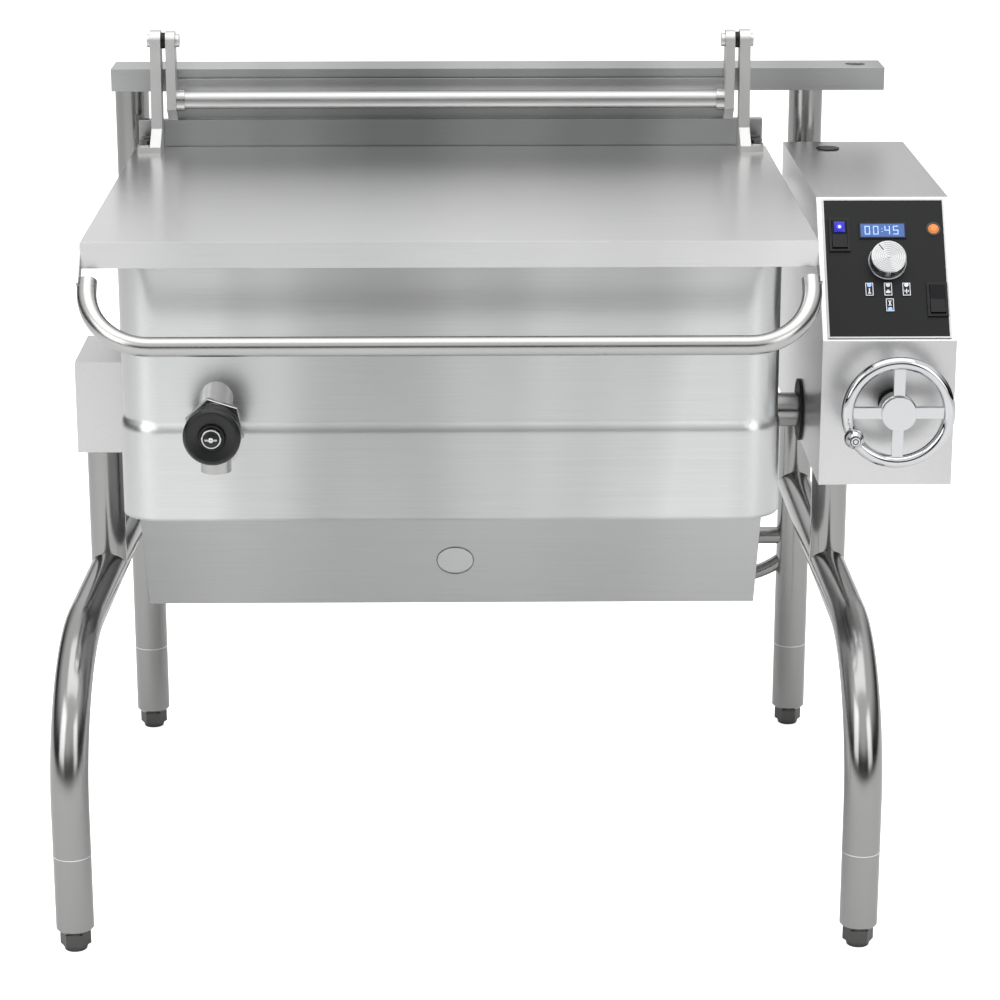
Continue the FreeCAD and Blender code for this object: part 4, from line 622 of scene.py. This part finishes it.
class Bench:
    """The hand tools that every trim piece is made with, all of them bpy.ops.

    Points nearer than `weld` are merged, and edges sharper than `crease` stay sharp.
    """

    weld: ClassVar[float] = 0.001 * MM
    crease: ClassVar[float] = math.radians(35)

    @staticmethod
    def block(name: str, low: tuple[float, float, float], high: tuple[float, float, float],
              edge: float) -> Object:
        """A block with its edges bevelled.

        Args:
            name: The piece's name.
            low: Its lowest corner.
            high: Its highest corner.
            edge: Width of the bevel.

        Returns:
            The block, in object mode.
        """
        bpy.ops.object.select_all(action="DESELECT")
        middle = [(a + b) / 2 for a, b in zip(low, high)]
        size = [b - a for a, b in zip(low, high)]
        bpy.ops.mesh.primitive_cube_add(size=1.0, location=middle, scale=size)
        piece = bpy.context.object
        piece.name = name
        bpy.ops.object.transform_apply(location=True, rotation=True, scale=True)
        bpy.ops.object.mode_set(mode="EDIT")
        bpy.ops.mesh.select_all(action="SELECT")
        bpy.ops.mesh.bevel(offset=edge, segments=2, affect="EDGES")
        bpy.ops.object.mode_set(mode="OBJECT")
        return piece

    @staticmethod
    def turned(name: str, points: list[tuple[float, float]], steps: int = 48) -> Object:
        """A piece turned on a lathe about Z.

        Args:
            name: The piece's name.
            points: Its section as (radius, height), from one end to the other; a ring's
                section ends where it starts.
            steps: Sides of the turned surface.

        Returns:
            The piece, in object mode.
        """
        bpy.ops.object.select_all(action="DESELECT")
        bpy.ops.mesh.primitive_plane_add(size=MM, location=(0.0, 0.0, 0.0))
        piece = bpy.context.object
        piece.name = name
        bpy.ops.object.mode_set(mode="EDIT")
        bpy.ops.mesh.select_mode(type="VERT")
        bpy.ops.mesh.select_all(action="SELECT")
        bpy.ops.mesh.merge(type="CENTER")
        bpy.ops.transform.translate(value=(points[0][0], 0.0, points[0][1]))
        for (radius, height), (next_radius, next_height) in zip(points, points[1:]):
            step = (next_radius - radius, 0.0, next_height - height)
            bpy.ops.mesh.extrude_region_move(TRANSFORM_OT_translate={"value": step})
        bpy.ops.mesh.select_all(action="SELECT")
        bpy.ops.mesh.spin(steps=steps, angle=math.tau, center=(0.0, 0.0, 0.0),
                          axis=(0.0, 0.0, 1.0))
        bpy.ops.mesh.select_all(action="SELECT")
        bpy.ops.mesh.remove_doubles(threshold=Bench.weld)
        bpy.ops.mesh.select_all(action="SELECT")
        bpy.ops.mesh.normals_make_consistent(inside=False)
        bpy.ops.object.mode_set(mode="OBJECT")
        return piece

    @staticmethod
    def frame(name: str, low: tuple[float, float], high: tuple[float, float], border: float,
              thickness: float, lift: float) -> Object:
        """A flat rectangular border, inset from a plate and given its thickness.

        Args:
            name: The piece's name.
            low: Its lower left outer corner.
            high: Its upper right outer corner.
            border: Width of the border.
            thickness: Thickness of the border.
            lift: Height of its underside.

        Returns:
            The border, in object mode.
        """
        bpy.ops.object.select_all(action="DESELECT")
        middle = ((low[0] + high[0]) / 2, (low[1] + high[1]) / 2, lift)
        bpy.ops.mesh.primitive_plane_add(size=1.0, location=middle)
        piece = bpy.context.object
        piece.name = name
        piece.scale = (high[0] - low[0], high[1] - low[1], 1.0)
        bpy.ops.object.transform_apply(location=True, rotation=True, scale=True)
        bpy.ops.object.mode_set(mode="EDIT")
        bpy.ops.mesh.select_all(action="SELECT")
        bpy.ops.mesh.inset(thickness=border)
        bpy.ops.mesh.delete(type="FACE")
        bpy.ops.mesh.select_all(action="SELECT")
        bpy.ops.mesh.extrude_region_move(TRANSFORM_OT_translate={"value": (0, 0, thickness)})
        bpy.ops.mesh.select_all(action="SELECT")
        bpy.ops.mesh.normals_make_consistent(inside=False)
        bpy.ops.object.mode_set(mode="OBJECT")
        return piece

    @staticmethod
    def joined(pieces: list[Object]) -> Object:
        """Joins several pieces into the first and returns it."""
        bpy.ops.object.select_all(action="DESELECT")
        for piece in pieces:
            piece.select_set(True)
        bpy.context.view_layer.objects.active = pieces[0]
        if len(pieces) > 1:
            bpy.ops.object.join()
        return pieces[0]

    @staticmethod
    def seat(piece: Object, place: Matrix, finish: Finish, body: str, slot: str) -> Object:
        """Sets a finished piece in its place and lets it ride on its body.

        Args:
            piece: The piece, modelled about the origin.
            place: Its place in the object's frame.
            finish: Its finish.
            body: The body that it rides on.
            slot: Name of a material slot; not used.

        Returns:
            The same piece.
        """
        bpy.ops.object.select_all(action="DESELECT")
        piece.select_set(True)
        bpy.context.view_layer.objects.active = piece
        piece.matrix_world = place @ piece.matrix_world
        bpy.ops.object.transform_apply(location=True, rotation=True, scale=True)
        bpy.ops.object.shade_smooth_by_angle(angle=Bench.crease)
        piece.data.materials.clear()
        piece.data.materials.append(finish.material())
        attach(piece, body)
        log.info("made %s on %s", piece.name, body)
        return piece


def middle_of(node: str) -> Vector:
    """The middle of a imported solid's box."""
    low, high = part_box(node)
    return (low + high) / 2


def facing_front(place: Vector) -> Matrix:
    """A place whose Z axis looks at the operator."""
    return Matrix.Translation(place) @ Matrix.Rotation(math.radians(90), 4, "X")


@dataclass
class ConsoleTrim:
    """What is printed on or set in the sloping panel, in the panel's own coordinates.

    Args:
        angle: Slope of the panel, in degrees.
        foot: Height of the panel's lower edge.
        width: The console's width.
        length: The panel's length up the slope.
        lift: Height of the overlay's face over the sheet.
        display, dial, lamp, power, keys: Middles, as shares of the panel's width and length.
        shown: What the display shows.
        figure_width, figure_height, figure_pitch: Sizes and spacing of its figures.
        stroke: Width of a figure's strokes.
        bezel_half, key_half: Half widths and half heights of the bezel and the key's outline.
        rocker_slope: Slope of the power rocker's upper half, in degrees.
        place: The panel's lower left corner and slope, found when it is built.
    """

    angle: float = 54.0
    foot: float = 790 * MM
    width: float = 180 * MM
    length: float = 212 * MM
    lift: float = 1.5 * MM
    display: tuple[float, float] = (0.486, 0.76)
    dial: tuple[float, float] = (0.51, 0.54)
    lamp: tuple[float, float] = (0.872, 0.77)
    power: tuple[float, float] = (0.16, 0.73)
    keys: tuple[tuple[float, float], ...] = ((0.365, 0.352), (0.505, 0.352), (0.643, 0.352),
                                             (0.513, 0.244))
    shown: str = "00:45"
    figure_width: float = 7.5 * MM
    figure_height: float = 13 * MM
    figure_pitch: float = 11.5 * MM
    stroke: float = 1.5 * MM
    bezel_half: tuple[float, float] = (32 * MM, 12 * MM)
    key_half: tuple[float, float] = (5.2 * MM, 9.2 * MM)
    rocker_slope: float = 7.1
    place: Matrix = field(init=False)

    def build(self) -> None:
        """Makes every piece of the panel."""
        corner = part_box("console_housing")[0]
        self.place = (Matrix.Translation((corner.x, corner.y, self.foot))
                      @ Matrix.Rotation(math.radians(self.angle), 4, "X"))
        self.border()
        self.figures()
        self.key_marks()
        self.dial_face()
        self.lamp_ring()
        self.rocker_spot()

    def spot(self, share: tuple[float, float]) -> tuple[float, float]:
        """Turns a share of the panel into metres along it."""
        return share[0] * self.width, share[1] * self.length

    def border(self) -> None:
        """A pale line round the overlay: a painted highlight along its raised edge."""
        margin = 7 * MM
        line = Bench.frame("overlay_border", (margin, margin / 2),
                           (self.width - margin, self.length - margin / 2), 2.4 * MM,
                           0.5 * MM, self.lift)
        Bench.seat(line, self.place, OVERLAY_EDGE_HIGHLIGHT, "stand", "black_panel")

    def strokes(self, figure: str, left: float, low: float) -> list[Object]:
        """The lit strokes of one figure.

        Args:
            figure: The character shown.
            left: Its left edge.
            low: Its lower edge.

        Returns:
            One block for each stroke.
        """
        wide, tall, pen = self.figure_width, self.figure_height, self.stroke
        half = tall / 2
        runs = {"a": (0.0, tall - pen, wide, tall), "b": (wide - pen, half, wide, tall),
                "c": (wide - pen, 0.0, wide, half), "d": (0.0, 0.0, wide, pen),
                "e": (0.0, 0.0, pen, half), "f": (0.0, half, pen, tall),
                "g": (0.0, half - pen / 2, wide, half + pen / 2),
                "u": (0.0, half + 1.5 * MM, pen, half + 1.5 * MM + pen),
                "v": (0.0, half - 1.5 * MM - pen, pen, half - 1.5 * MM)}
        used = {"0": "abcdef", "4": "bcfg", "5": "acdfg", ":": "uv"}[figure]
        gap = 0.15 * MM
        top = self.lift + 1.5 * MM
        return [Bench.block("stroke", (left + x0 + gap, low + y0 + gap, top),
                            (left + x1 - gap, low + y1 - gap, top + 0.3 * MM), 0.1 * MM)
                for x0, y0, x1, y1 in (runs[letter] for letter in used)]

    def figures(self) -> None:
        """The display's plain figures, pale on its lit window."""
        x, y = self.spot(self.display)
        left = x - 2.05 * self.figure_pitch - self.stroke / 2
        low = y - self.figure_height / 2
        made = []
        for figure in self.shown:
            made += self.strokes(figure, left, low)
            left += self.figure_pitch * (0.35 if figure == ":" else 1.0)
        whole = Bench.joined(made)
        whole.name = "display_figures"
        Bench.seat(whole, self.place, FIGURES, "stand", "display_glass")
        wide, tall = self.bezel_half
        rim = Bench.frame("display_bezel", (x - wide, y - tall), (x + wide, y + tall),
                          2.2 * MM, 1.9 * MM, self.lift)
        Bench.seat(rim, self.place, BLACK_ABS, "stand", "black_plastic")

    def key_marks(self) -> None:
        """A white outline and a lit dot on each key; the first and the last are blue."""
        wide, tall = self.key_half
        last = len(self.keys) - 1
        for count, share in enumerate(self.keys):
            x, y = self.spot(share)
            top = self.lift + 0.8 * MM
            outline = Bench.frame(f"key_outline_{count}", (x - wide, y - tall),
                                  (x + wide, y + tall), 0.9 * MM, 0.25 * MM, top)
            mark = Bench.joined([outline] + self.key_icon(count, x, y, top))
            Bench.seat(mark, self.place, KEY_WHITE, "stand", "key_print")
            dot = Bench.turned(f"key_dot_{count}", in_metres(
                (0, 0), (3, 0), (3, 0.3), (2.2, 0.6), (0, 0.6)), 24)
            side = -1 if count == last else 1
            spot = self.place @ Matrix.Translation((x, y + side * 6.2 * MM, top))
            Bench.seat(dot, spot, KEY_BLUE if count in (0, last) else KEY_WHITE, "stand",
                       "key_print")

    def key_icon(self, count: int, x: float, y: float, top: float) -> list[Object]:
        """A plain sign on a key: a bar gauge, a pan, a flame bar or an hourglass in blocks.

        Args:
            count: Which key.
            x: Middle of the key across the panel.
            y: Middle of the key up the panel.
            top: Height of the key's face.

        Returns:
            The sign's blocks.
        """
        signs = [((-0.8, -6.5, 0.8, 1.5), (-2.0, -6.5, 2.0, -4.9)),
                 ((-3.0, -5.5, 3.0, -2.5), (-1.6, -2.2, 1.6, -0.8)),
                 ((-0.7, -6.5, 0.7, 0.5), (-2.8, -4.0, -1.6, -1.5), (1.6, -4.0, 2.8, -1.5)),
                 ((-2.2, 4.8, 2.2, 6.0), (-1.0, 0.4, 1.0, 4.6), (-2.2, -1.0, 2.2, 0.2))]
        return [Bench.block("sign", (x + x0 * MM, y + y0 * MM, top),
                            (x + x1 * MM, y + y1 * MM, top + 0.25 * MM), 0.1 * MM)
                for x0, y0, x1, y1 in signs[count]]

    def dial_face(self) -> None:
        """The dial's spun face with its turned rings, its skirt and the pointer's groove."""
        x, y = self.spot(self.dial)
        low = self.lift + 0.3 * MM
        top = low + 18 * MM
        spot = self.place @ Matrix.Translation((x, y, 0.0))
        rings = [(0.0, 0.5)]
        for count in range(1, 8):
            radius = count * 2.9
            rings += [(radius - 0.4, 0.5), (radius, 0.36), (radius + 0.4, 0.5)]
        section = in_metres(*rings, (22.2, 0.5), (23.5, 0), (0, 0), lift=top)
        Bench.seat(Bench.turned("dial_face", section, 72), spot, KNOB_ALUMINIUM, "timer_dial",
                   "aluminium_knob")
        skirt = in_metres((25, 0), (26.2, 0), (26.2, 2.2), (25.4, 3), (25, 3), (25, 0), lift=low)
        Bench.seat(Bench.turned("dial_skirt", skirt, 72), spot, KNOB_ALUMINIUM,
                   "timer_dial", "aluminium_knob")
        line = Bench.block("dial_pointer", (-0.7 * MM, 12 * MM, top + 0.45 * MM),
                           (0.7 * MM, 22 * MM, top + 0.75 * MM), 0.1 * MM)
        turn = Matrix.Rotation(math.radians(35), 4, "Z")
        Bench.seat(line, spot @ turn, DARK_FILL_AND_GROOVE_SHADE, "timer_dial", "black_plastic")

    def lamp_ring(self) -> None:
        """The dark ring that holds the lamp's lens."""
        x, y = self.spot(self.lamp)
        section = in_metres((7.2, 0), (10.2, 0), (9.8, 1.2), (8, 1.8), (7.2, 1.2), (7.2, 0),
                            lift=self.lift)
        Bench.seat(Bench.turned("lamp_ring", section), self.place @ Matrix.Translation((x, y, 0)),
                   DARK_FILL_AND_GROOVE_SHADE, "stand", "black_plastic")

    def rocker_spot(self) -> None:
        """The lit lens on the upper half of the power rocker, with its lamp's halo."""
        x, y = self.spot(self.power)
        slope = Matrix.Rotation(math.radians(self.rocker_slope), 4, "X")
        spot = self.place @ Matrix.Translation((x, y + 10 * MM, self.lift + 4.9 * MM)) @ slope
        lens = Bench.block("power_lens", (-7.4 * MM, -7.6 * MM, -0.4 * MM),
                           (7.4 * MM, 7.6 * MM, 0.6 * MM), 0.4 * MM)
        Bench.seat(lens, spot, BLUE_LENS, "power_rocker", "blue_rocker")
        for name, radius, rise, finish in (("power_halo", 4.6, 0.9, BLUE_HALO),
                                           ("power_glow", 2.3, 1.3, BLUE_SPOT)):
            section = in_metres((0, 0.2), (radius, 0.2), (radius * 0.8, rise - 0.15), (0, rise))
            Bench.seat(Bench.turned(name, section, 32), spot, finish, "power_rocker",
                       "blue_rocker")


@dataclass
class ValveTrim:
    """The raised rings of the valve knob's face, its bright centre, and the skirt behind it.

    Args:
        hexagon_turn: How far the hexagon stands turned, in degrees.
    """

    hexagon_turn: float = 42.0

    def build(self) -> None:
        """Makes the pieces on the knob and the valve."""
        low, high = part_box("valve_knob")
        middle = (low + high) / 2
        self.face(facing_front(Vector((middle.x, low.y, middle.z))))
        self.centre(Vector((middle.x, low.y, middle.z)))
        self.collar(middle)

    def face(self, front: Matrix) -> None:
        """The raised ring near the knob's edge and the one round its centre."""
        for name, inner, outer in (("knob_outer_ring", 30.5, 33.5), ("knob_inner_ring", 14.5, 17)):
            section = in_metres((inner, -1.4), (outer, -1.4), (outer - 0.5, 0.3),
                                (inner + 0.5, 0.3), (inner, -1.4))
            Bench.seat(Bench.turned(name, section, 64), front, BLACK_PHENOLIC, "valve_knob",
                       "black_plastic")

    def centre(self, face: Vector) -> None:
        """The bright ring, the black cap over the stem's end and its bright wing nut."""
        low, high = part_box("valve_stem")
        reach = face.y - low.y
        front = facing_front(face)
        end = reach / MM
        rise = end * 0.6
        ring = in_metres((10.2, -4.2), (13, -4.2), (13, rise), (12.3, rise + 0.8),
                         (10.9, rise + 0.8), (10.2, rise), (10.2, -4.2))
        Bench.seat(Bench.turned("knob_bright_ring", ring, 64), front, CHROME, "valve_knob",
                   "chrome_plate")
        cap = in_metres((0, end + 0.8), (8.4, end + 0.8), (10.2, end), (10.2, -3), (0, -3))
        Bench.seat(Bench.turned("knob_centre_cap", cap, 48), front, BLACK_PHENOLIC,
                   "valve_knob", "black_plastic")
        wings = Bench.block("knob_wing_nut", (-8 * MM, -1.3 * MM, reach + 0.4 * MM),
                            (8 * MM, 1.3 * MM, reach + 2.4 * MM), 0.6 * MM)
        dome = Bench.turned("dome", in_metres((0, 0.4), (3.6, 0.4), (3.4, 2.6), (1.8, 3.8),
                                              (0, 4.1), lift=reach), 32)
        Bench.seat(Bench.joined([wings, dome]), front, CHROME, "valve_knob", "chrome_plate")

    def collar(self, middle: Vector) -> None:
        """The black skirt behind the knob and the bright hexagon that it is screwed on."""
        bonnet_low, bonnet_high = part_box("valve_bonnet")
        place = facing_front(Vector((middle.x, bonnet_high.y, middle.z)))
        deep = (bonnet_high.y - bonnet_low.y) / MM + 0.5
        skirt = in_metres((21, -12), (30, -12), (33.5, -9), (33.5, -3), (29, 1), (29, deep),
                          (21, deep), (21, -12))
        Bench.seat(Bench.turned("valve_skirt", skirt, 64), place, BLACK_PHENOLIC, "pan",
                   "black_plastic")
        nut = in_metres((20, -22), (39, -22), (40, -21), (40, -13), (39, -12), (20, -12),
                        (20, -22))
        turn = Matrix.Rotation(math.radians(self.hexagon_turn), 4, "Z")
        Bench.seat(Bench.turned("valve_hexagon", nut, 6), place @ turn, VALVE_CASTING, "pan",
                   "bright_stainless")


@dataclass
class HandwheelTrim:
    """The handwheel's faced hub, the ball at the end of the crank's grip, and painted shade in its
    groove and round its pin.

    Args:
        hub_radius: Radius of the hub's turned face.
    """

    hub_radius: float = 24.5 * MM

    def build(self) -> None:
        """Makes the hub's face, the grip's ball with the painted shade of its groove, and a ring
        of painted shade round the pin.
        """
        low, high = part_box("handwheel")
        middle = (low + high) / 2
        front = facing_front(Vector((middle.x, middle.y - 3 * MM, middle.z)))
        wide = self.hub_radius / MM
        face = in_metres((0, 6.4), (wide - 1.6, 6.4), (wide, 5.2), (wide, -2), (0, -2))
        Bench.seat(Bench.turned("hub_face", face, 64), front, HUB_FACE, "handwheel",
                   "chrome_plate")
        grip_low, grip_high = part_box("crank_grip")
        spot = (grip_low + grip_high) / 2
        end = facing_front(Vector((spot.x, grip_low.y, spot.z)))
        ball = in_metres((0, -24), (9, -24), (11.6, -22), (13, -18), (13.4, -13.5), (13, -9),
                         (11.6, -5), (9.8, -2.2), (8.2, -0.4), (7.6, 0.3), (0, 0.3))
        Bench.seat(Bench.turned("grip_end_ball", ball, 48), end, CHROME, "crank_grip",
                   "chrome_plate")
        # painted shade: a dark ring where the groove at the grip's end lies in shade
        groove = in_metres((6.1, 0.1), (7.4, 0.1), (7.4, 0.7), (6.1, 0.7), (6.1, 0.1))
        Bench.seat(Bench.turned("grip_end_groove", groove, 32), end, DARK_FILL_AND_GROOVE_SHADE, "crank_grip",
                   "black_plastic")
        pin_end = facing_front(Vector((spot.x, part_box("crank_pin")[0].y, spot.z)))
        # painted shade: a dark ring in the gap round the crank pin's end
        ring = in_metres((2.6, -0.1), (4.2, -0.1), (4, 0.3), (2.8, 0.3), (2.6, -0.1))
        Bench.seat(Bench.turned("pin_end_ring", ring, 32), pin_end, DARK_FILL_AND_GROOVE_SHADE, "handwheel",
                   "black_plastic")


@dataclass
class StandTrim:
    """Near-white lines round the legs at the tops of their sleeves.

    Args:
        tube_radius: Outer radius of the leg tubes.
        line: Width of a line.
    """

    tube_radius: float = 25.4 * MM
    line: float = 1.3 * MM

    def build(self) -> None:
        """Makes the lines."""
        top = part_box("leg_sleeves")[1].z
        edge, half = self.tube_radius / MM, self.line / MM / 2
        section = in_metres((edge - 0.3, -half), (edge + 0.4, -half * 0.6),
                            (edge + 0.4, half * 0.6), (edge - 0.3, half), (edge - 0.3, -half))
        for place in ("front_left", "rear_left", "front_right", "rear_right"):
            foot = middle_of("foot_" + place)
            seam = Bench.turned("sleeve_seam_" + place, section, 48)
            Bench.seat(seam, Matrix.Translation((foot.x, foot.y, top)), BRIGHT_LINE, "stand",
                       "stainless_tube")


@dataclass
class TroughTrim:
    """The rolled lip round the access disc in the heater trough.

    Args:
        width: Half the lip's width.
    """

    width: float = 1.0 * MM

    def build(self) -> None:
        """Makes the lip, square to the sloping front of the trough."""
        low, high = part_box("trough_access_disc")
        radius = (high.x - low.x) / 2
        lean = math.acos(min(1.0, (high.z - low.z) / (high.x - low.x)))
        inner, outer = (radius - self.width) / MM, (radius + self.width) / MM
        section = in_metres((inner, -0.5), (outer, -0.5), (outer - 0.4, 1), (inner + 0.4, 1),
                            (inner, -0.5))
        place = (Matrix.Translation((low + high) / 2)
                 @ Matrix.Rotation(math.radians(90) + lean, 4, "X"))
        # painted shade: the lip takes the darker bolt steel, so a dark-grey line shows round the
        # disc
        Bench.seat(Bench.turned("access_disc_lip", section, 64), place, BOLT_STEEL, "pan",
                   "brushed_stainless")


@dataclass
class HingeTrim:
    """The fluted spring tube and the washers under the lid's arms.

    Args:
        flutes: Number of ribs round the spring tube.
        core_inset: How far the tube between the ribs lies inside the plain one.
        rib_height: Height of a rib.
        washer: Outer radius of the washers under the arm bolts.
        bolt: Half the width of a bolt's hexagon over its corners.
    """

    flutes: int = 18
    core_inset: float = 1.2 * MM
    rib_height: float = 1.4 * MM
    washer: float = 11 * MM
    bolt: float = 8.5 * MM

    def build(self) -> None:
        """Makes the hinge's trim."""
        self.fluted_tube()
        self.washers()

    def fluted_tube(self) -> None:
        """The spring tube with ribs raised along its whole length."""
        low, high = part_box("spring_tube")
        middle, length = (low + high) / 2, high.x - low.x
        radius = (high.z - low.z) / 2
        bpy.ops.object.select_all(action="DESELECT")
        bpy.ops.mesh.primitive_cylinder_add(vertices=2 * self.flutes,
                                            radius=radius - self.core_inset, depth=length)
        sleeve = bpy.context.object
        sleeve.name = "fluted_spring_tube"
        bpy.ops.object.mode_set(mode="EDIT")
        bpy.ops.mesh.select_all(action="DESELECT")
        bpy.ops.object.mode_set(mode="OBJECT")
        share = math.tau / (2 * self.flutes)
        for face in sleeve.data.polygons:
            turn = math.atan2(face.center.y, face.center.x) % math.tau
            side = abs(face.normal.z) < 0.5
            face.select = side and int(turn / share) % 2 == 0
        bpy.ops.object.mode_set(mode="EDIT")
        rise = {"value": self.rib_height}
        bpy.ops.mesh.extrude_region_shrink_fatten(TRANSFORM_OT_shrink_fatten=rise)
        bpy.ops.object.mode_set(mode="OBJECT")
        along = Matrix.Translation(middle) @ Matrix.Rotation(math.radians(90), 4, "Y")
        Bench.seat(sleeve, along, RIBBED_TUBE, "pan", "stainless_tube")
        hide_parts("spring_tube")

    def washers(self) -> None:
        """A washer under each bolt of the lid's arms."""
        low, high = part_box("lid_arm_bolts")
        inset = self.bolt * math.cos(math.radians(30))
        edge = self.washer / MM
        section = in_metres((0, 0), (edge, 0), (edge, 1.2), (edge - 0.5, 1.6), (0, 1.6))
        spots = [(x, y) for x in (low.x + self.bolt, high.x - self.bolt)
                 for y in (low.y + inset, high.y - inset)]
        for count, (x, y) in enumerate(spots):
            ring = Bench.turned(f"bolt_washer_{count}", section, 32)
            Bench.seat(ring, Matrix.Translation((x, y, low.z)), TURNED_STEEL, "lid",
                       "machined_stainless")


def main() -> None:
    """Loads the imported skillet, dresses it, adds its trim and sets the studio round it."""
    logging.basicConfig(level=logging.INFO, format="%(message)s")
    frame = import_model()
    bpy.ops.object.select_all(action="DESELECT")
    Studio().build()
    finishes = {name: finish for finish, names in FINISHES.items() for name in names.split()}
    Dresser(frame["nodes"], finishes).dress()
    for trim in (ConsoleTrim(), ValveTrim(), HandwheelTrim(), StandTrim(), TroughTrim(),
                 HingeTrim()):
        trim.build()


if __name__ == "__main__":
    main()
